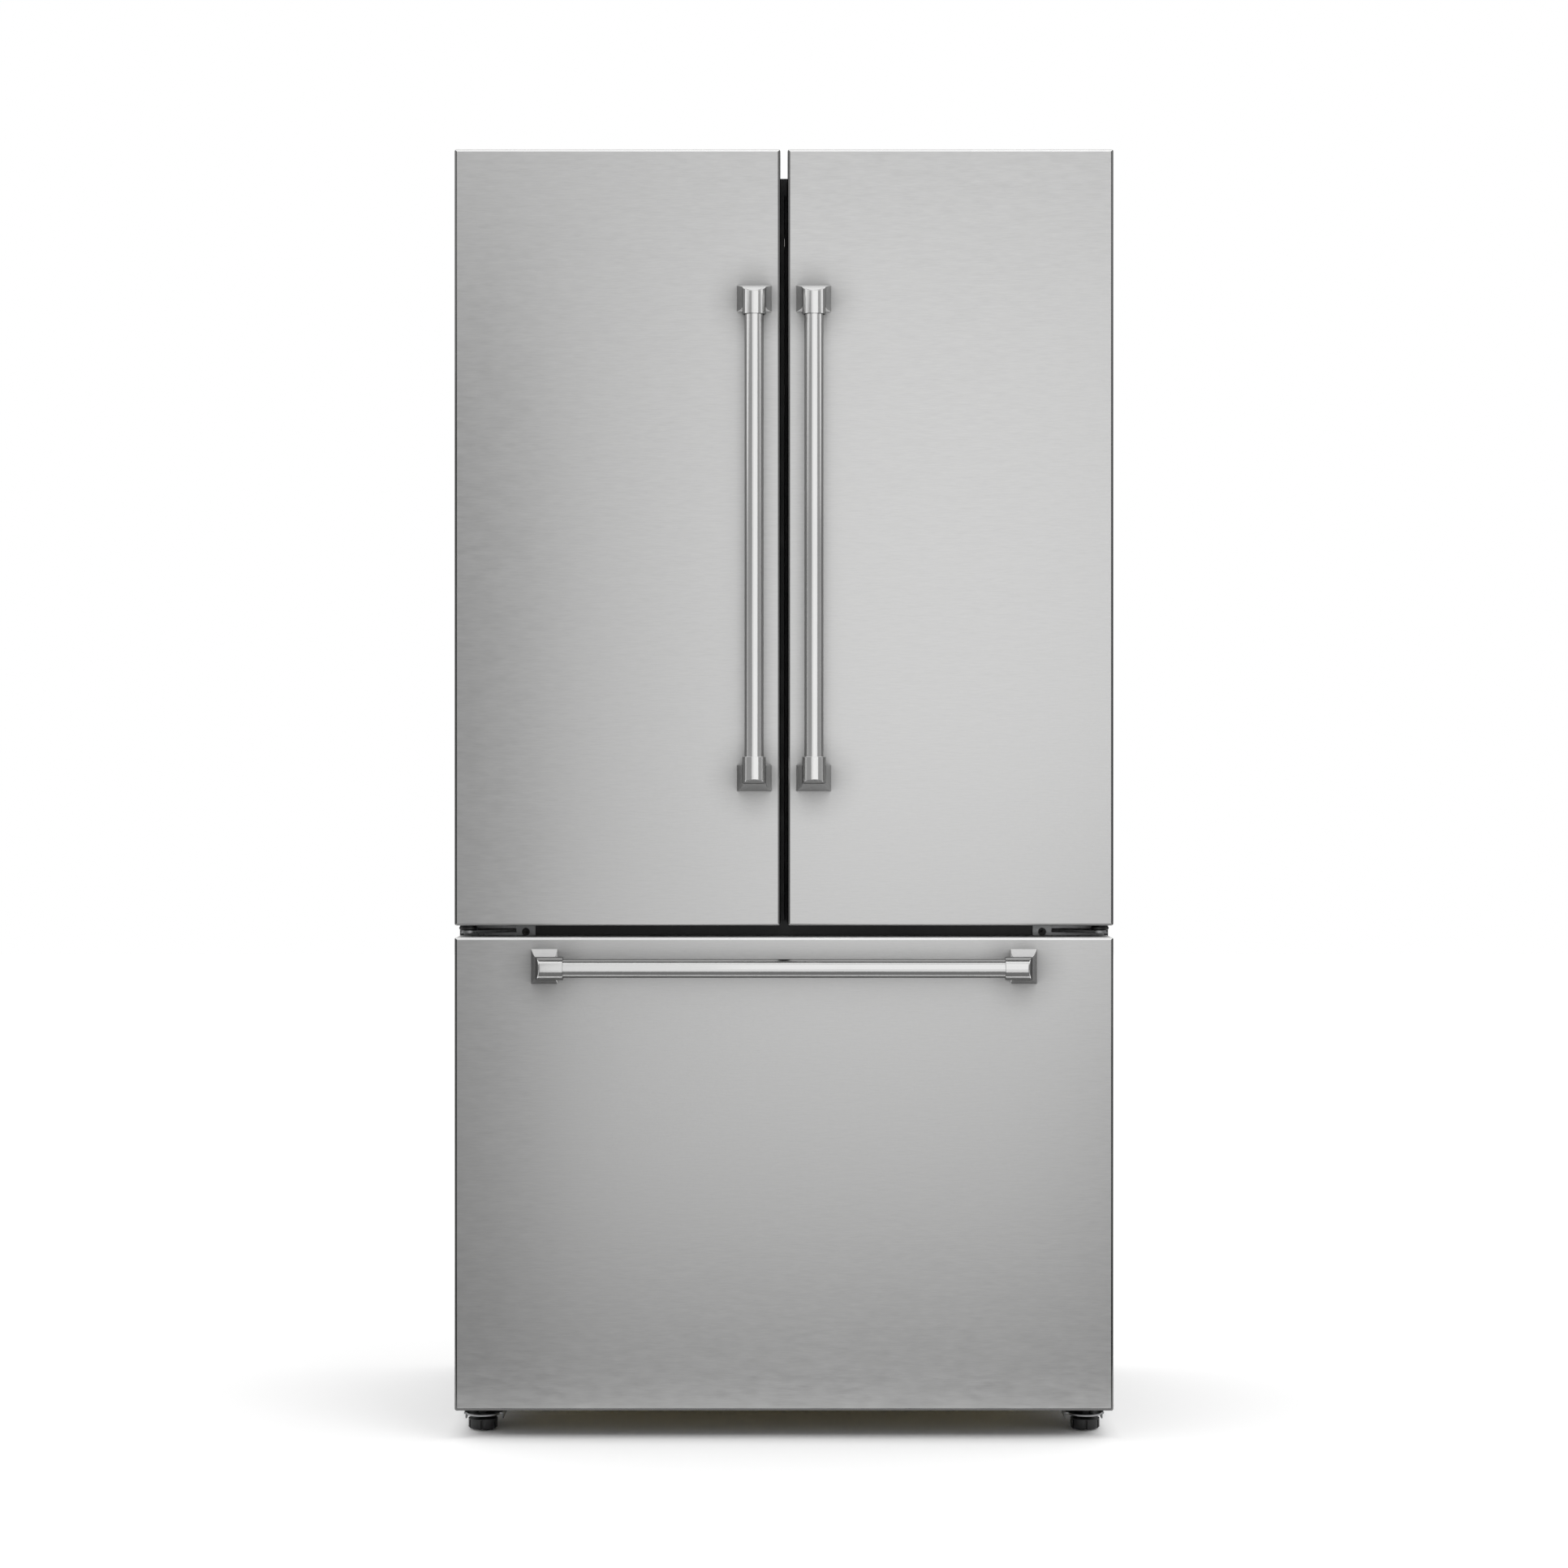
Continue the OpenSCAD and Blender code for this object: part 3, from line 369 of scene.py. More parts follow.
def ledRound(bm, outline, x0, x1, z0, z1, y):  # outline of (inset, depth) led round a rectangle
    ends = [(x0, z0, 1, 1), (x1, z0, -1, 1), (x1, z1, -1, -1), (x0, z1, 1, -1)]
    verts = [bm.verts.new((x, y, z)) for x, z, *_ in ends]
    loop = [bm.edges.new((verts[i], verts[(i + 1) % 4])) for i in range(4)]
    for (was, _), (inset, depth) in zip(outline, outline[1:]):
        grown = bmesh.ops.extrude_edge_only(bm, edges=loop)["geom"]
        loop = edgesOf(grown)
        for v in vertsOf(grown):
            x, z, dx, dz = min(ends, key=lambda c: (abs(c[0] + c[2] * was - v.co.x)
                                                    + abs(c[1] + c[3] * was - v.co.z)))
            v.co = (x + dx * inset, y + depth, z + dz * inset)
    bmesh.ops.remove_doubles(bm, verts=bm.verts, dist=1e-3)


acrossX = Matrix.Rotation(pi / 2, 4, "Y")  # turns +Z to +X
otherSide = Matrix.Scale(-1, 4, (1, 0, 0))
here = Matrix()


# Makes an object of a mesh in millimetres. It rides on its body, and replaces the nodes named.
def piece(bm, name, body, finishName, nodes=(), smooth=38, recalc=True):
    if recalc:
        bmesh.ops.recalc_face_normals(bm, faces=bm.faces)
    bmesh.ops.scale(bm, vec=(mm,) * 3, verts=bm.verts)
    mesh = bpy.data.meshes.new(name)
    bm.to_mesh(mesh)
    bm.free()
    mesh.shade_smooth()
    mesh.set_sharp_from_angle(angle=radians(smooth))
    obj = bpy.data.objects.new(name, mesh)
    bpy.context.scene.collection.objects.link(obj)
    mesh.materials.append(finish(finishName))
    obj.modifiers.new("flatFaces", "WEIGHTED_NORMAL").keep_sharp = True
    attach(obj, body)
    if nodes:
        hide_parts(*nodes)
    return obj


dressed = set()
downTheMiddle = ((0, 0, 0), (1, 0, 0))


# A CAD node with its edges rounded by rules of (width, segments, test). Where a flat face runs round a
# hole it is parted by planes of (spot, way), because it would be filled over otherwise.
def eased(node, *rules, smooth=38, parted=()):
    bm = bmesh.new()
    bm.from_mesh(frame["nodes"][node].data)
    bmesh.ops.remove_doubles(bm, verts=bm.verts, dist=1e-5)
    for spot, way in parted:
        for edge in edgesOf(cutAt(bm, Vector(spot) * mm, way, dist=1e-6)):
            edge.seam = True
    bmesh.ops.dissolve_limit(bm, angle_limit=radians(0.5), verts=bm.verts, edges=bm.edges, delimit={"SEAM"})
    bmesh.ops.scale(bm, vec=(1 / mm,) * 3, verts=bm.verts)
    for width, segments, test in rules:
        roundEdges(bm, sharpEdges(bm, test), width, segments, clamp=False)
    dressed.add(node)
    return piece(bm, camel(node), bodyOf[node], camel(slotOf[node]), nodes=(node,), smooth=smooth,
                 recalc=False)


folds = dict(square=0.998, lowest=-0.05, side=1, top=2, flange=3)

for node in ("left_door_skin", "right_door_skin", "drawer_skin"):
    skin = eased(node, smooth=30)
    for name in ("sideFold", "topFold", "flangeSteel"):
        skin.data.materials.append(finish(name))
    for face in skin.data.polygons:  # the folds round the front are smoother, with a painted dark reflection on the sides and below, and a painted highlight on top
        x, y, z = face.normal
        if max(abs(x), abs(y), abs(z)) < folds["square"] and (z > folds["lowest"] or node == "drawer_skin"):
            face.material_index = folds["top"] if z > abs(x) else folds["side"]
        elif z > folds["square"] and node == "drawer_skin":
            face.material_index = folds["flange"]
print("steel skins done")


handle = dict(out=57.5, ferrule=15.7, base=48, depth=36, over=11, bar=12.7, length=694.5, faceY=-309.9,
              steps=18, turns=80, edge=0.45, joint=1.6, gap=0.35, hidden=6, smooth=32,
              endLean=0.174, endRise=2.8, endEdge=1.3, endLift=0.1, endSteps=(3.5, 6, 9, 12, 14.5),
              endRound=((0, 1), (0.08, 0.6), (0.3, 0.28), (0.62, 0.07), (1, 0)))


def flare(n):  # half the width of a post at n from the door
    return handle["ferrule"] + (handle["base"] / 2 - handle["ferrule"]) * (1 - n / handle["out"]) ** 2


def endSlope(n):  # how far a post's end is cut back at n from the door
    h = handle
    past = max(n - h["out"], 0) / h["ferrule"]
    return h["endLean"] * n + h["endRise"] * past ** 2


def ledOut(part, rim):  # draws an open rim out by one step, and gives the new rim and its corners
    grown = bmesh.ops.extrude_edge_only(part, edges=rim)["geom"]
    return edgesOf(grown), vertsOf(grown)


def postBody():  # drawn out from a foot on the door, narrowing to the ferrule's width
    h = handle
    part = bmesh.new()
    foot = bmesh.ops.create_grid(part, x_segments=1, y_segments=1, size=0.5)["verts"]
    bmesh.ops.scale(part, vec=(h["base"], h["depth"], 1), verts=foot)
    bmesh.ops.rotate(part, cent=(0, 0, 0), matrix=Matrix.Rotation(pi / 2, 3, "X"), verts=foot)
    bmesh.ops.translate(part, vec=(0, 0, h["depth"] / 2), verts=foot)
    rim = part.edges[:]
    for i in range(1, h["steps"] + 1):
        n = h["out"] * i / h["steps"]
        rim, verts = ledOut(part, rim)
        for v in verts:
            v.co = (flare(n) if v.co.x > 0 else -flare(n), -n,
                    h["depth"] if v.co.z > h["depth"] * 0.75 else endSlope(n))
    bmesh.ops.contextual_create(part, geom=rim)
    bmesh.ops.recalc_face_normals(part, faces=part.faces)
    roundEdges(part, sharpEdges(part, least=60), h["edge"], 2)
    return part


def ferrule():  # sleeve round the bar's end, cut to the post's slope, its cut edge rounded
    h = handle
    part = bmesh.new()
    mouth, r, e, c = h["depth"] + h["over"], h["ferrule"], h["edge"], h["endEdge"]
    inner = h["bar"] + h["gap"]
    bmesh.ops.create_circle(part, cap_ends=True, segments=h["turns"], radius=h["bar"] - 1)
    bmesh.ops.translate(part, vec=(0, -h["out"], mouth - h["joint"]), verts=part.verts)
    rim = part.edges[:]
    for radius, height in ((inner, mouth - h["joint"]), (inner, mouth - e), (inner + e / 3, mouth - e / 3),
                           (inner + e, mouth), (r - e, mouth), (r - e / 3, mouth - e / 3), (r, mouth - e)):
        rim, verts = ledOut(part, rim)
        for v in verts:
            way = Vector((v.co.x, v.co.y + h["out"])).normalized() * radius
            v.co = (way.x, way.y - h["out"], height)
    for inset, lift in [(a * c, b * c) for a, b in h["endRound"]] + [(step, 0) for step in h["endSteps"]]:
        rim, verts = ledOut(part, rim)
        for v in verts:
            way = Vector((v.co.x, v.co.y + h["out"])).normalized() * (r - inset)
            v.co = (way.x, way.y - h["out"], endSlope(h["out"] - way.y) + lift + h["endLift"])
    bmesh.ops.contextual_create(part, geom=rim)
    return part


def handleAt(node, body, place, barFinish):
    h = handle
    name = camel(node)
    farEnd = at(0, 0, h["length"]) @ Matrix.Scale(-1, 4, (0, 0, 1))
    posts, ferrules = bmesh.new(), bmesh.new()
    joined(posts, postBody(), place, place @ farEnd)
    joined(ferrules, ferrule(), place, place @ farEnd)
    post = piece(posts, name + "Posts", body, "postSteel", nodes=(node + "_posts",), smooth=h["smooth"])
    sleeve = piece(ferrules, name + "Ferrules", body, barFinish, smooth=h["smooth"])
    ends = (h["depth"], h["length"] - h["depth"])
    for obj in (post, sleeve) if barFinish == "handleSteel" else (post,):
        obj.data.materials.append(finish("faceSteel"))
        for face in obj.data.polygons:  # painted highlight: the faces that look up or along the bar get a near-white steel colour
            inner = min(abs((place.inverted() @ (face.center / mm)).z - end) for end in ends) < 0.1
            face.material_index = int(face.normal.z > 0.5 or (inner and obj is post))
    start = h["depth"] - h["hidden"]
    rod = bmesh.new()
    addRod(rod, (0, -h["out"], start), (0, -h["out"], h["length"] - start), h["bar"], 96)
    bar = bmesh.new()
    joined(bar, rod, place)
    piece(bar, name + "Bar", body, barFinish, nodes=(node + "_bar",), smooth=h["smooth"])
    dressed.update((node + "_posts", node + "_bar"))


lowEnd = corners("left_handle_posts")[0].z
sideways = (corners("right_handle_posts")[0].x + corners("right_handle_posts")[1].x) / 2
drawerLow, drawerHigh = corners("drawer_handle_posts")
handleAt("left_handle", "left_door", at(-sideways, handle["faceY"], lowEnd), "handleSteel")
handleAt("right_handle", "right_door", at(sideways, handle["faceY"], lowEnd), "handleSteel")
handleAt("drawer_handle", "freezer_drawer",
         at(drawerLow.x, handle["faceY"], (drawerLow.z + drawerHigh.z) / 2) @ acrossX, "handleSteelAcross")
print("handles done")


small = dict(foot=0.7, footTop=15.5, bracket=0.5, hinge=0.6, cover=4.5, screw=0.5, screwFacet=1.2,
             roller=1.2, rollerSides=(-437, -409, 409, 437))

for node in ("left_foot", "right_foot"):
    eased(node, (small["foot"], 2, lambda e: all(v.co.z < small["footTop"] for v in e.verts)))
eased("roller_brackets", (small["bracket"], 2, anyEdge))
for node in ("front_rollers", "rear_rollers"):
    eased(node, (small["roller"], 2, lambda e: lies(e, 0, *small["rollerSides"])))
eased("hinge_plates", (small["hinge"], 2, anyEdge))
coverTop = corners("hinge_covers")[1].z
eased("hinge_covers", (small["cover"], 5, lambda e: lies(e, 2, coverTop)))
for node in ("left_hinge_blocks", "right_hinge_blocks"):
    eased(node)
eased("hinge_screws", (small["screw"], 2, lambda e: e.calc_length() < small["screwFacet"]), smooth=50)
bush = dict(place=(436.5, -275.0, 703.9), turns=48,
            outline=[(5.3, 0), (11.6, 0), (12.4, 0.8), (12.4, 3.4), (11.4, 4.4), (5.3, 4.4), (5.3, 0)])


def collars():  # black bushes under the doors, which ride on the middle hinges' pins
    x, y, z = bush["place"]
    for side, body in ((-1, "left_door"), (1, "right_door")):
        part = bmesh.new()
        lathe(part, bush["outline"], bush["turns"])
        bm = bmesh.new()
        joined(bm, part, at(side * x, y, z))
        piece(bm, ("left" if side < 0 else "right") + "HingeBush", body, "blackPlastic")


collars()
print("feet and hinges done")


cabinet = dict(edge=1.2, sides=(-452.5, 452.5), top=1750, rail=0.8, frame=0.8)
shellBack = corners("cabinet_shell")[1].y


def shellEdge(e):  # the edges of the sides and the top, apart from those at the back
    side = lies(e, 0, *cabinet["sides"]) and not runs(e, 1)
    return not lies(e, 1, shellBack) and (side or lies(e, 2, cabinet["top"]))


eased("cabinet_shell", (cabinet["edge"], 3, shellEdge), smooth=30, parted=(downTheMiddle,))
eased("mid_rail", (cabinet["rail"], 2, anyEdge))
eased("base_frame", (cabinet["frame"], 2, anyEdge))

# Walls as (axis, place)
foodLiner = dict(corner=18, edge=1.5, innerHalf=375, innerBack=322,
                 walls=[(0, -410), (0, 410), (2, 752), (2, 1706), (1, 323.1)])
freezerLiner = dict(corner=15, step=338, stepY=102.1,
                    walls=[(0, -405), (0, 405), (2, 100), (2, 655), (1, 320.1), (2, 338), (1, 102.1)])
fanCover = dict(edge=7, front=266.1, step=338, ventHalf=40, ventEdge=0.8)


def meets(e, walls):  # whether two of a liner's inner walls meet at this edge
    return sum(lies(e, axis, place) for axis, place in walls) >= 2


def byVent(e):
    return all(abs(v.co.x) < fanCover["ventHalf"] for v in e.verts)


eased("fresh_food_liner", (foodLiner["corner"], 6, lambda e: meets(e, foodLiner["walls"])),
      (foodLiner["edge"], 2, lambda e: all(abs(v.co.x) < foodLiner["innerHalf"]
                                           and v.co.y < foodLiner["innerBack"] for v in e.verts)))
eased("freezer_liner", (freezerLiner["corner"], 6, lambda e: meets(e, freezerLiner["walls"]) and not (
    lies(e, 2, freezerLiner["step"]) and lies(e, 1, freezerLiner["stepY"]))))
eased("evaporator_cover", (fanCover["edge"], 4, lambda e: lies(e, 1, fanCover["front"])
                           and not lies(e, 2, fanCover["step"]) and not byVent(e)),
      (fanCover["ventEdge"], 2, byVent), parted=(downTheMiddle,))
print("cabinet and liners done")


# Frames' corners at those x and y, and their long edges at the heights of the panes
shelves = dict(track=0.6, glass=1.2, corner=8, edge=1.4, x=(-406, -4, 4, 406), y=(-95, 293), halfway=205,
               z=(1190, 1430, 1130, 1370, 1202, 1442, 1142, 1382))


def frameCorner(e):
    return runs(e, 2) and lies(e, 0, *shelves["x"]) and lies(e, 1, *shelves["y"])


eased("shelf_tracks", (shelves["track"], 2, anyEdge), smooth=45)
eased("shelf_glass", (shelves["glass"], 3, anyEdge))
eased("shelf_frames", (shelves["corner"], 5, frameCorner),
      (shelves["edge"], 3, lambda e: lies(e, 2, *shelves["z"])),
      parted=[((side * shelves["halfway"], 0, 0), (1, 0, 0)) for side in (1, -1)])
crisper = dict(cover=1.6, wall=3, corner=16, foot=9, rim=1.2, gap=4, slotX=(160, 260), slotZ=(955, 967),
               slotReach=5, lipInset=14, lipEdge=1.2, slider=0.8,
               lip=[(3.4, 1), (-8, 1), (-11, -1), (-12.5, -5), (-12.5, -26), (-9.5, -26), (-8.5, -10),
                    (-6, -7), (-0.1, -6.5), (-0.1, -1), (3.4, -1)])
eased("crisper_cover", (crisper["cover"], 3, anyEdge))


def crisperDrawers():  # two clear drawers with slots for the humidity sliders, and their white handles
    c = crisper
    low, high = corners("crispers")
    (x0, x1), (z0, z1), reach = c["slotX"], c["slotZ"], c["slotReach"]
    drawer = tray((c["gap"], low.y, low.z), tuple(high), c["wall"], c["corner"], c["foot"], c["rim"],
                  ((x0, low.y - reach, z0), (x1, low.y + reach, z1)))
    bm = bmesh.new()
    joined(bm, drawer, here, otherSide)
    piece(bm, "crisperDrawers", "cabinet", "clearPlastic", nodes=("crispers",))
    lip = bmesh.new()
    drawn(lip, [(low.y + y, high.z + z) for y, z in c["lip"]], c["gap"] + c["lipInset"],
          high.x - c["lipInset"])
    roundEdges(lip, sharpEdges(lip, lambda e: not runs(e, 0), 60), c["lipEdge"], 2)
    bm = bmesh.new()
    joined(bm, lip, here, otherSide)
    piece(bm, "crisperHandles", "cabinet", "trimWhite")
    dressed.add("crispers")


crisperDrawers()
for node in ("left_humidity_slider", "right_humidity_slider"):
    eased(node, (crisper["slider"], 3, anyEdge))
controlPanel = dict(footZ=1692, foot=9, corner=6, windowInset=16, windowHalf=5, windowEdge=0.9, pads=5,
                    pitch=34, padRadius=3.2, padTop=2.8)
eased("control_panel", (controlPanel["foot"], 5, lambda e: lies(e, 2, controlPanel["footZ"])),
      (controlPanel["corner"], 4, lambda e: runs(e, 2)))
ceilingLight = dict(halfWide=150, front=20, back=76, deep=7, top=1706.2, edge=3, frame=7, frameDeep=4,
                    corner=10, frameEdge=0.8)


def foodLights():  # lamp lens in its frame, flush under the ceiling
    c = ceilingLight
    wide, front, back, top, border = c["halfWide"], c["front"], c["back"], c["top"], c["frame"]
    lens = bmesh.new()
    roundedBox(lens, (-wide, front, top - c["deep"]), (wide, back, top), c["edge"], 4)
    piece(lens, "ceilingLens", "cabinet", "lampLens")
    hoop = band((-wide - border, front - border, top - c["frameDeep"]),
                (wide + border, back + border, top), border - 1, c["corner"], c["frameEdge"])
    piece(hoop, "lensFrame", "cabinet", "trimWhite")


def panelControls():  # dark window with round touch pads on the panel's front
    c = controlPanel
    low, high = corners("control_panel")
    middle = (low.z + high.z) / 2
    window = bmesh.new()
    roundedBox(window, (low.x + c["windowInset"], low.y - 0.6, middle - c["windowHalf"]),
               (high.x - c["windowInset"], low.y + 1, middle + c["windowHalf"]), c["windowEdge"], 3)
    piece(window, "panelWindow", "cabinet", "blackGloss")
    pads = bmesh.new()
    for i in range(c["pads"]):
        x = (i - (c["pads"] - 1) / 2) * c["pitch"]
        addRod(pads, (x, low.y - 0.5, middle), (x, low.y - 1.0, middle), c["padRadius"], 32, c["padTop"])
    piece(pads, "panelPads", "cabinet", "trimWhite")


foodLights()
panelControls()
print("shelves and crispers done")


door = dict(ringOut=22, ringIn=10, rib=28, wall=2.5, lip=6, linerY=-239.9, edge=1.2)


def ringRules(x0, x1, z0, z1, deep):  # rounds the raised ring on a liner, outside, inside and on its front
    wall, front = door["wall"], door["linerY"] + deep

    def depthwise(e, inset):
        return runs(e, 1) and any(abs(e.verts[0].co.x - x) < 0.1 for x in (x0 + inset, x1 - inset)) \
            and any(abs(e.verts[0].co.z - z) < 0.1 for z in (z0 + inset, z1 - inset))
    return ((door["ringOut"], 6, lambda e: depthwise(e, 0)),
            (door["ringOut"] - wall, 6, lambda e: depthwise(e, wall)),
            (door["ringIn"], 5, lambda e: depthwise(e, door["rib"])),
            (door["lip"], 5, lambda e: lies(e, 1, front)),
            (door["edge"], 2, lambda e: lies(e, 1, door["linerY"]) and all(
                abs(v.co.z - z) > 3 for v in e.verts for z in (z0, z1))))


gasket = dict(outline=[(0, 0), (0, 2.5), (2.6, 3.4), (1.8, 6.2), (3.8, 8.6), (2.9, 11), (4.6, 12.5),
                       (13.4, 12.5), (15.1, 11), (14.2, 8.6), (16.2, 6.2), (15.4, 3.4), (18, 2.5), (18, 0),
                       (0, 0)],
              lipX=0.75, lipY=(-232.4, -231.5), lipZ=(716, 1724.5), lipOver=3, lipEdge=0.35)


def doorGasket(node, body):  # soft folded seal, mitred at its corners
    g = gasket
    low, high = corners(node)
    bm = bmesh.new()
    ledRound(bm, g["outline"], low.x, high.x, low.z, high.z, low.y)
    if node == "right_door_gasket":  # lip that closes against the flap on the other door
        roundedBox(bm, (g["lipX"], g["lipY"][0], g["lipZ"][0]),
                   (low.x + g["lipOver"], g["lipY"][1], g["lipZ"][1]), g["lipEdge"], 2)
    piece(bm, node.split("_")[0] + "Gasket", body, "gasket", nodes=(node,), smooth=50)
    dressed.add(node)


doorBin = dict(wall=3, corner=16, foot=7, rim=1.2, heights=((796, 914), (1100, 1204), (1400, 1496)),
               bandHigh=15, bandTop=1.5, bandWall=2.4, bandInset=0.6, bandOut=1.6, bandFrom=-187,
               ribs=5, ribRow=20, ribInset=14, ribHalf=1, ribHigh=1.2, ribEdge=0.5)


def doorBins(side):  # clear bins with low ribs on their floors and a white band round the front
    b = doorBin
    node = side + "_door_bins"
    low, high = corners(node)
    bins, bands = bmesh.new(), bmesh.new()
    for z0, z1 in b["heights"]:
        joined(bins, tray((low.x, low.y, z0), (high.x, high.y, z1), b["wall"], b["corner"], b["foot"],
                          b["rim"]), here)
        floor = z0 + b["wall"]
        for i in range(b["ribs"]):
            y = low.y + b["ribRow"] + i * (high.y - low.y - 2 * b["ribRow"]) / (b["ribs"] - 1)
            roundedBox(bins, (low.x + b["ribInset"], y - b["ribHalf"], floor - 0.2),
                       (high.x - b["ribInset"], y + b["ribHalf"], floor + b["ribHigh"]), b["ribEdge"], 2)
        hoop = band((low.x + b["bandInset"], low.y, z1 - b["bandHigh"]),
                    (high.x - b["bandInset"], high.y + b["bandOut"], z1 - b["bandTop"]), b["bandWall"],
                    b["corner"] + 0.5)
        cutAt(hoop, (0, b["bandFrom"], 0), (0, 1, 0), clear_inner=True)
        bmesh.ops.edgeloop_fill(hoop, edges=[e for e in hoop.edges if e.is_boundary])
        joined(bands, hoop, here)
    piece(bins, side + "DoorBins", side + "_door", "clearPlastic", nodes=(node,))
    piece(bands, side + "BinBands", side + "_door", "trimWhite")
    dressed.add(node)


flap = dict(edge=0.6, block=3)
for side, x0, x1 in (("left", -392, -62), ("right", 62, 392)):
    eased(side + "_door_liner", *ringRules(x0, x1, 766, 1694, 50))
    doorGasket(side + "_door_gasket", side + "_door")
    doorBins(side)
eased("drawer_liner", *ringRules(-391, 391, 112, 642, 30))
doorGasket("drawer_gasket", "freezer_drawer")
eased("mullion_flap", (flap["edge"], 2, anyEdge))
blockBack = corners("mullion_block")[1].y
eased("mullion_block", (flap["block"], 3, lambda e: lies(e, 1, blockBack)))
print("doors' inner sides done")


basket = dict(wall=3, corner=20, foot=10, rim=1.2, halfWide=381, hangZ=387, hangHigh=3, hangInset=22,
              hangEdge=1, bandOut=1.6, bandLow=9.5, bandHigh=1.2, bandWall=5.6, bandEdge=1)


def freezerBasket():
    b = basket
    low, high = corners("freezer_basket")
    wide, out = b["halfWide"], b["bandOut"]
    bm = tray((-wide, low.y, low.z), (wide, high.y, high.z), b["wall"], b["corner"], b["foot"], b["rim"])
    for side in (-1, 1):  # flanges that hang on the rails
        x = sorted((side * (wide - 1), side * high.x))
        roundedBox(bm, (x[0], low.y + b["hangInset"], b["hangZ"]),
                   (x[1], high.y - b["hangInset"], b["hangZ"] + b["hangHigh"]), b["hangEdge"], 2)
    piece(bm, "freezerBasket", "freezer_drawer", "clearPlastic", nodes=("freezer_basket",))
    hoop = band((-wide - out, low.y - out, high.z - b["bandLow"]),
                (wide + out, high.y + out, high.z + b["bandHigh"]), b["bandWall"], b["corner"] + out,
                b["bandEdge"])
    piece(hoop, "basketRim", "freezer_drawer", "trimWhite")
    dressed.add("freezer_basket")


rails = dict(edge=0.5)
freezerBasket()
for node in ("outer_rails", "middle_rails", "inner_rails"):
    eased(node, (rails["edge"], 2, anyEdge))
print("freezer drawer done")


rear = dict(sunk=0.9, edge=0.25, border=34, corner=22, fold=2.6, gap=26, fields=3, perSide=6, screwRow=22,
            screwRadius=4.6, washer=2.2, washerHigh=0.25, cover=0.35, inlet=1.0)


def backPanel():  # pressed sheet with raised fields and a row of screws down each side
    r = rear
    low, high = corners("back_panel")
    sheetY = high.y - r["sunk"]
    bm = bmesh.new()
    addBox(bm, (low.x, low.y, low.z), (high.x, sheetY, high.z))
    roundEdges(bm, [e for e in bm.edges if lies(e, 1, sheetY)], r["edge"], 1)
    height = (high.z - low.z - 2 * r["border"] - (r["fields"] - 1) * r["gap"]) / r["fields"]
    for i in range(r["fields"]):
        z = low.z + r["border"] + i * (height + r["gap"])
        field = bmesh.new()
        verts = addBox(field, (low.x + r["border"], sheetY - 0.2, z),
                       (high.x - r["border"], high.y, z + height))
        roundEdges(field, [e for e in edgesIn(verts) if runs(e, 1)], r["corner"], 6)
        front = max(field.faces, key=lambda f: f.calc_center_median().y)
        bmesh.ops.inset_region(field, faces=[front], thickness=r["fold"])
        rim = [v for v in field.verts if v.co.y > high.y - 0.01 and v not in front.verts]
        bmesh.ops.translate(field, vec=(0, -r["sunk"], 0), verts=rim)
        joined(bm, field, here)
    piece(bm, "backSheet", "cabinet", "rearSteel", nodes=("back_panel",), smooth=60)
    screws = bmesh.new()
    for side in (-1, 1):
        for i in range(r["perSide"]):
            z = low.z + r["screwRow"] + i * (high.z - low.z - 2 * r["screwRow"]) / (r["perSide"] - 1)
            x = side * (high.x - r["border"] / 2)
            start = sheetY - 0.1
            addRod(screws, (x, start, z), (x, start + r["washerHigh"], z), r["screwRadius"] + r["washer"], 32)
            addRod(screws, (x, start, z), (x, high.y - 0.05, z), r["screwRadius"], 6)
    piece(screws, "backScrews", "cabinet", "zinc")
    dressed.add("back_panel")


backPanel()
eased("rear_cover", (rear["cover"], 2, anyEdge))
eased("power_inlet", (rear["inlet"], 3, lambda e: not runs(e, 1)))

pump = dict(place=(210, 262), radius=78, low=64, high=212, weld=124, footX=86, footY=44,
            plate=((-100, -58, 58), (100, 58, 64)), plateCorner=14,
            boxHalf=32, boxY=(-14, 16), boxZ=(96, 160), boxEdge=5,
            stubs=(((-46, 48, 182), (-46, 48, 232), 4.2), ((40, 54, 176), (40, 54, 226), 3.2),
                   ((58, -36, 168), (58, -36, 214), 3.2)),
            foot=[(0, 46), (13, 46), (14, 48), (14, 51), (10, 53), (10, 55), (13, 57), (13, 62), (10, 67),
                  (0, 67)])


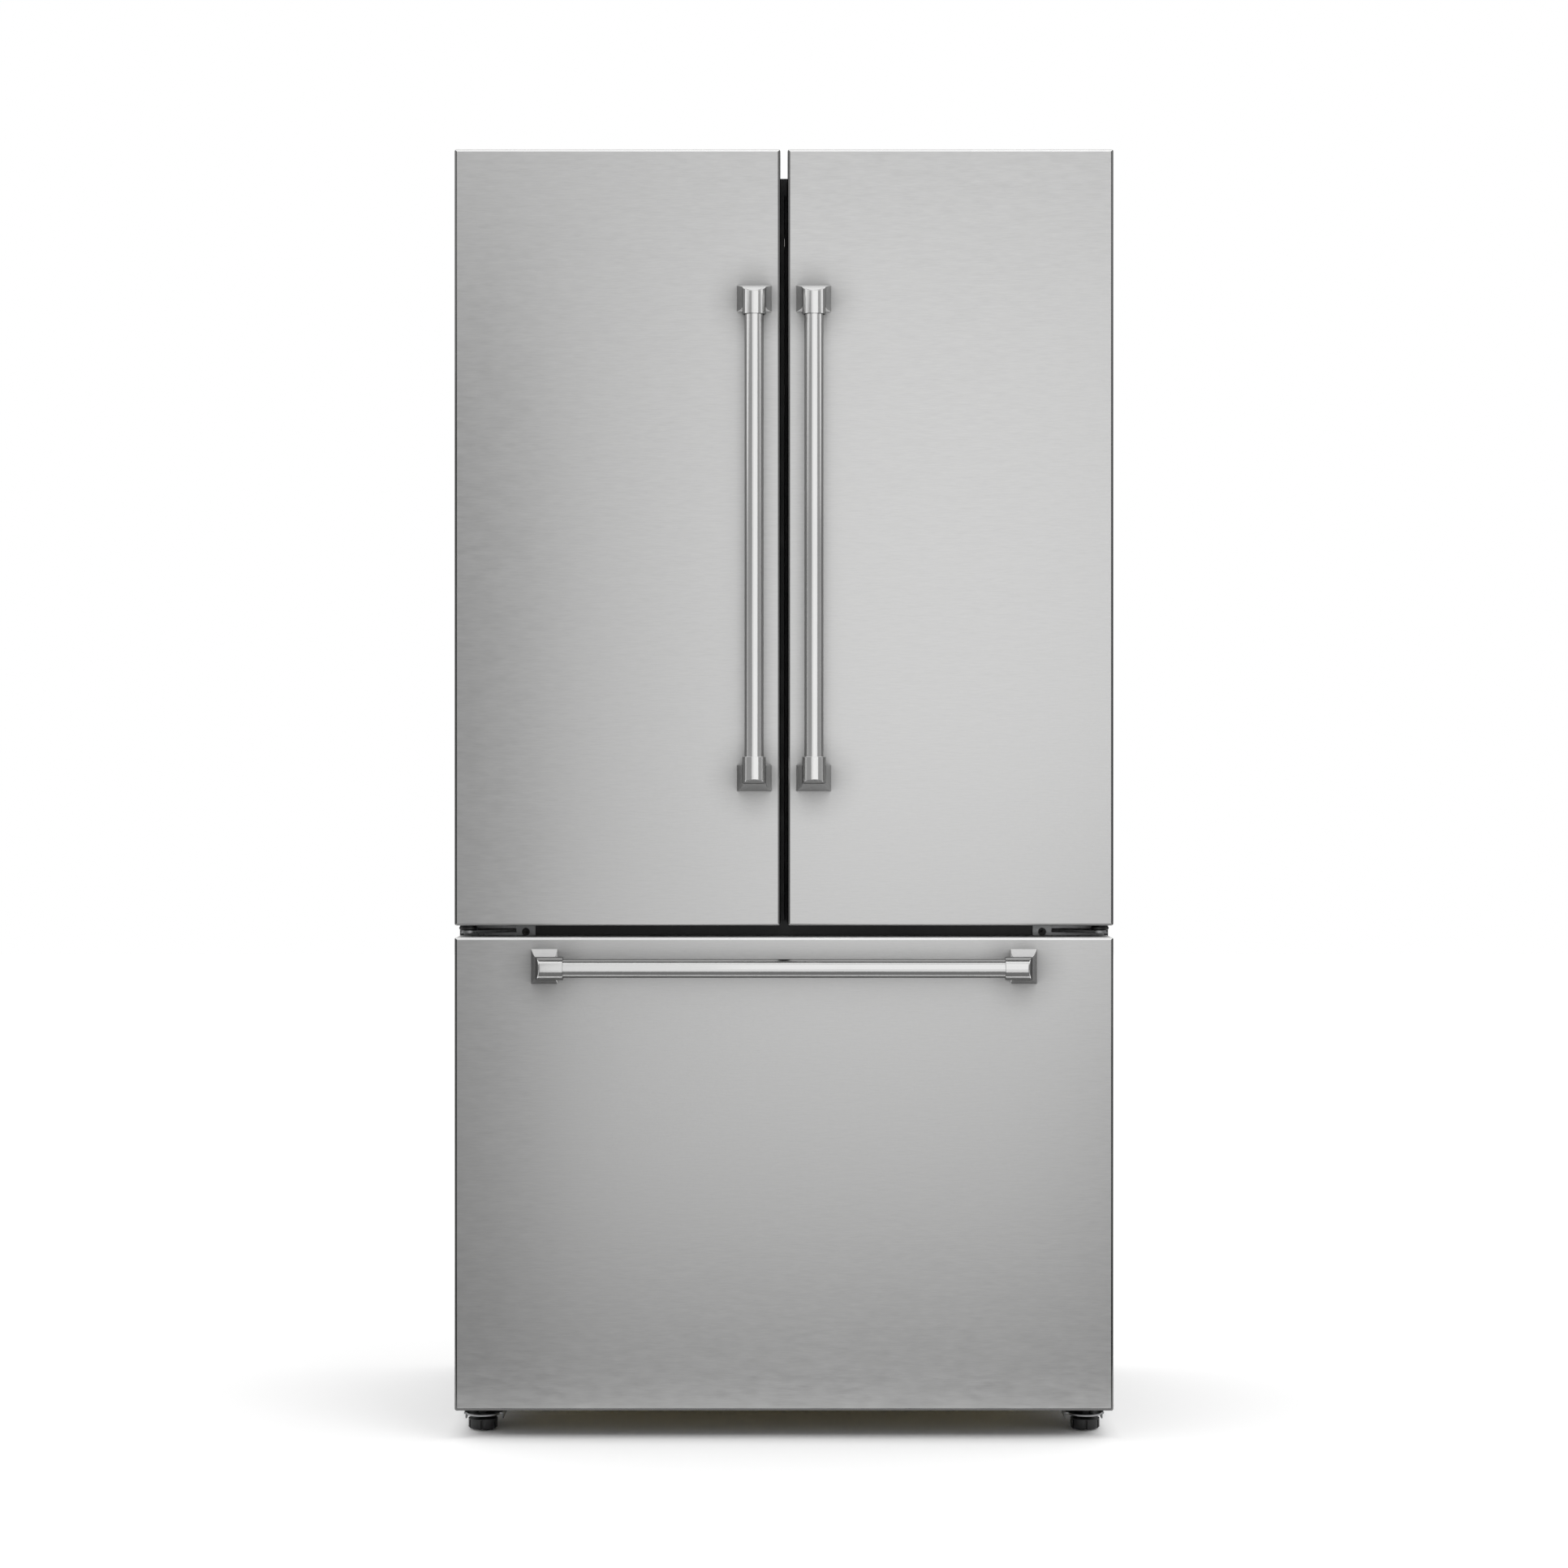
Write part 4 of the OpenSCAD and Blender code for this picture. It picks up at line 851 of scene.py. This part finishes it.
def compressor():  # pressed shell with its weld seam, base plate, rubber feet and copper stubs
    c = pump
    x, y = c["place"]
    r, low, high, weld = c["radius"], c["low"], c["high"], c["weld"]
    shell = bmesh.new()
    lathe(shell, [(0, low), (40, low + 1), (62, low + 8), (73, low + 20), (r - 2, low + 34),
                  (r - 2, weld - 2), (r, weld), (r, weld + 5), (r - 2, weld + 7), (r - 2.4, high - 44),
                  (r - 8, high - 24), (54, high - 9), (30, high - 2), (0, high)], 64)
    verts = addBox(shell, *c["plate"])
    roundEdges(shell, [e for e in edgesIn(verts) if runs(e, 2)], c["plateCorner"], 5)
    roundedBox(shell, (-c["boxHalf"], -r + c["boxY"][0], c["boxZ"][0]),
               (c["boxHalf"], -r + c["boxY"][1], c["boxZ"][1]), c["boxEdge"], 4)
    bm = bmesh.new()
    joined(bm, shell, at(x, y, 0))
    piece(bm, "compressorShell", "cabinet", "compressorBlack", nodes=("compressor",), smooth=50)
    feet = bmesh.new()
    for footX in (-c["footX"], c["footX"]):
        for footY in (-c["footY"], c["footY"]):
            foot = bmesh.new()
            lathe(foot, c["foot"], 32)
            joined(feet, foot, at(x + footX, y + footY, 0))
    piece(feet, "compressorFeet", "cabinet", "gasket")
    stubs = bmesh.new()
    for a, b, radius in c["stubs"]:
        addRod(stubs, a, b, radius, 24)
    bm = bmesh.new()
    joined(bm, stubs, at(x, y, 0))
    piece(bm, "compressorStubs", "cabinet", "copper")
    dressed.add("compressor")


compressor()
for node in ("condenser", "fan_motors", "condenser_fan", "evaporator_fan", "evaporator"):
    eased(node, smooth=30)
print("rear done")

keptShapes = [n for n in frame["nodes"] if n not in dressed]
for node in keptShapes:
    cad = frame["nodes"][node]
    cad.data.materials.clear()
    cad.data.materials.append(finish(camel(slotOf[node])))
print("left as they are:", keptShapes)


# Metres from here on
studio = dict(sky=0.85, floor=14, floorGlow=0.30, keyPower=26, keyPlace=(1.6, -3.2, 3.4), keySize=2.0,
              lens=83.6, back=5.0, eye=0.905, faceY=-0.3099, darkHalf=(0.42, 0.225), darkSoft=(0.05, 0.042),
              floorWhite=0.97, floorThick=0.002)


def sceneCamera():
    data = bpy.data.cameras.new("camera")
    data.lens = studio["lens"]
    data.sensor_width = 36
    cam = bpy.data.objects.new("camera", data)
    cam.location = (0, studio["faceY"] - studio["back"], studio["eye"])
    cam.rotation_euler = (pi / 2, 0, 0)
    bpy.context.scene.collection.objects.link(cam)
    bpy.context.scene.camera = cam


def seenRays(nodes, links):  # 1 for rays from the camera, reflections and glass
    path = nodes.new("ShaderNodeLightPath")
    ray = both(nodes, links, path.outputs["Is Camera Ray"], path.outputs["Is Glossy Ray"], "MAXIMUM")
    return both(nodes, links, ray, path.outputs["Is Transmission Ray"], "MAXIMUM")


def skyLight():
    world = bpy.data.worlds.new("studio")
    bpy.context.scene.world = world
    world.use_nodes = True
    nodes, links = world.node_tree.nodes, world.node_tree.links
    sky = nodes["Background"]
    sky.inputs["Color"].default_value = (1, 1, 1, 1)
    seen = seenRays(nodes, links)
    links.new(spread(nodes, links, seen, studio["sky"], 1, 0, 1), sky.inputs["Strength"])


def flatSheet(name, low, high, mat):  # the low side of a thin box
    bm = bmesh.new()
    size = [h - l for l, h in zip(low, high)]
    flat = size.index(min(size))
    addBox(bm, low, high)
    middle = (low[flat] + high[flat]) / 2
    extra = [f for f in bm.faces if f.calc_center_median()[flat] > middle or abs(f.normal[flat]) < 0.5]
    bmesh.ops.delete(bm, geom=extra, context="FACES")
    mesh = bpy.data.meshes.new(name)
    bm.to_mesh(mesh)
    bm.free()
    obj = bpy.data.objects.new(name, mesh)
    bpy.context.scene.collection.objects.link(obj)
    mesh.materials.append(mat)
    return obj


def studioFloor():
    mat = bpy.data.materials.new("studioFloor")
    mat.use_nodes = True
    nodes, links = mat.node_tree.nodes, mat.node_tree.links
    nodes.remove(nodes["Principled BSDF"])
    out = nodes["Material Output"]
    matte = nodes.new("ShaderNodeBsdfDiffuse")
    matte.inputs["Color"].default_value = (*(studio["floorWhite"],) * 3, 1)
    glow = nodes.new("ShaderNodeEmission")
    add = nodes.new("ShaderNodeAddShader")
    links.new(matte.outputs[0], add.inputs[0])
    links.new(glow.outputs[0], add.inputs[1])
    links.new(add.outputs[0], out.inputs["Surface"])
    # The glow is left out under the cabinet, a painted shadow that keeps the ground there dark
    place = nodes.new("ShaderNodeTexCoord")
    parts = nodes.new("ShaderNodeSeparateXYZ")
    links.new(place.outputs["Object"], parts.inputs[0])
    inside = []
    for axis, (half, soft) in enumerate(zip(studio["darkHalf"], studio["darkSoft"])):
        size = nodes.new("ShaderNodeMath")
        size.operation = "ABSOLUTE"
        links.new(parts.outputs[axis], size.inputs[0])
        inside.append(spread(nodes, links, size.outputs[0], 0, 1, half, half + soft))
    clear = both(nodes, links, inside[0], inside[1], "MAXIMUM")
    seen = both(nodes, links, seenRays(nodes, links), clear, "MULTIPLY")
    links.new(spread(nodes, links, seen, 0, studio["floorGlow"], 0, 1), glow.inputs["Strength"])
    half = studio["floor"]
    flatSheet("studioFloor", (-half, -half, -studio["floorThick"]), (half, half, 0), mat)


# Cards out of the frame that only reflections show: place, and brightness at the foot and at the top
cards = {
    "leftFront": ((-6.0, -1.31, 0), (-0.42, -1.30, 1.8), 0.33, 0.33),
    "leftWrap": ((-6.01, -1.31, 0), (-6.0, 0.9, 1.8), 0.5, 0.5),
    "leftSoft": ((-0.42, -1.31, 0.5), (-0.10, -1.30, 1.8), 0.85, 0.85),
    "rightFront": ((0.84, -1.31, 0), (7.0, -1.30, 1.9), 0.34, 0.34),
    "rightWrap": ((7.0, -1.31, 0), (7.01, 0.9, 1.9), 0.42, 0.42),
    "lowFront": ((-0.42, -1.32, 0), (0.54, -1.31, 0.6), 0.74, 0.89),
    "rightLow": ((0.54, -1.32, 0), (0.84, -1.31, 0.6), 0.45, 0.52),
    "highFront": ((-6, -1.32, 1.9), (6, -1.31, 2.4), 0.69, 0.69),
    "topFront": ((-6, -1.32, 2.4), (6, -1.31, 5), 1.1, 1.1),
    "leftSide": ((-3.01, 0.55, 0), (-3.00, 6, 5), 0.06, 0.06),
    "rightSide": ((3.00, 0.2, 0), (3.01, 6, 5), 0.06, 0.06),
    "ground": ((-4.0, -1.3, 0.002), (4.0, -0.42, 0.004), 0.18, 0.18),
    "overhead": ((-1.5, -1.0, 3.0), (1.5, 1.2, 3.01), 0.1, 0.1),
}


def reflectedCards():
    for name, (low, high, bottomLevel, topLevel) in cards.items():
        mat = bpy.data.materials.new(name)
        mat.use_nodes = True
        nodes, links = mat.node_tree.nodes, mat.node_tree.links
        nodes.remove(nodes["Principled BSDF"])
        glow = nodes.new("ShaderNodeEmission")
        place = nodes.new("ShaderNodeTexCoord")
        parts = nodes.new("ShaderNodeSeparateXYZ")
        links.new(place.outputs["Object"], parts.inputs[0])
        links.new(spread(nodes, links, parts.outputs[2], bottomLevel, topLevel, low[2], high[2]),
                  glow.inputs["Strength"])
        links.new(glow.outputs[0], nodes["Material Output"].inputs["Surface"])
        mat.cycles.emission_sampling = "NONE"
        card = flatSheet(name, low, high, mat)
        card.visible_camera = False
        card.visible_diffuse = False
        card.visible_shadow = False
        card.visible_transmission = False


def lamp(name, place, target, size, power):
    data = bpy.data.lights.new(name, "AREA")
    data.shape = "SQUARE"
    data.size = size
    data.energy = power
    obj = bpy.data.objects.new(name, data)
    obj.location = place
    obj.rotation_euler = (Vector(target) - Vector(place)).to_track_quat("-Z", "Y").to_euler()
    bpy.context.scene.collection.objects.link(obj)
    return obj


sceneCamera()
skyLight()
studioFloor()
reflectedCards()
key = lamp("key", studio["keyPlace"], (0, 0, 0.9), studio["keySize"], studio["keyPower"])
key.visible_glossy = False
bpy.context.scene.view_settings.view_transform = "Standard"
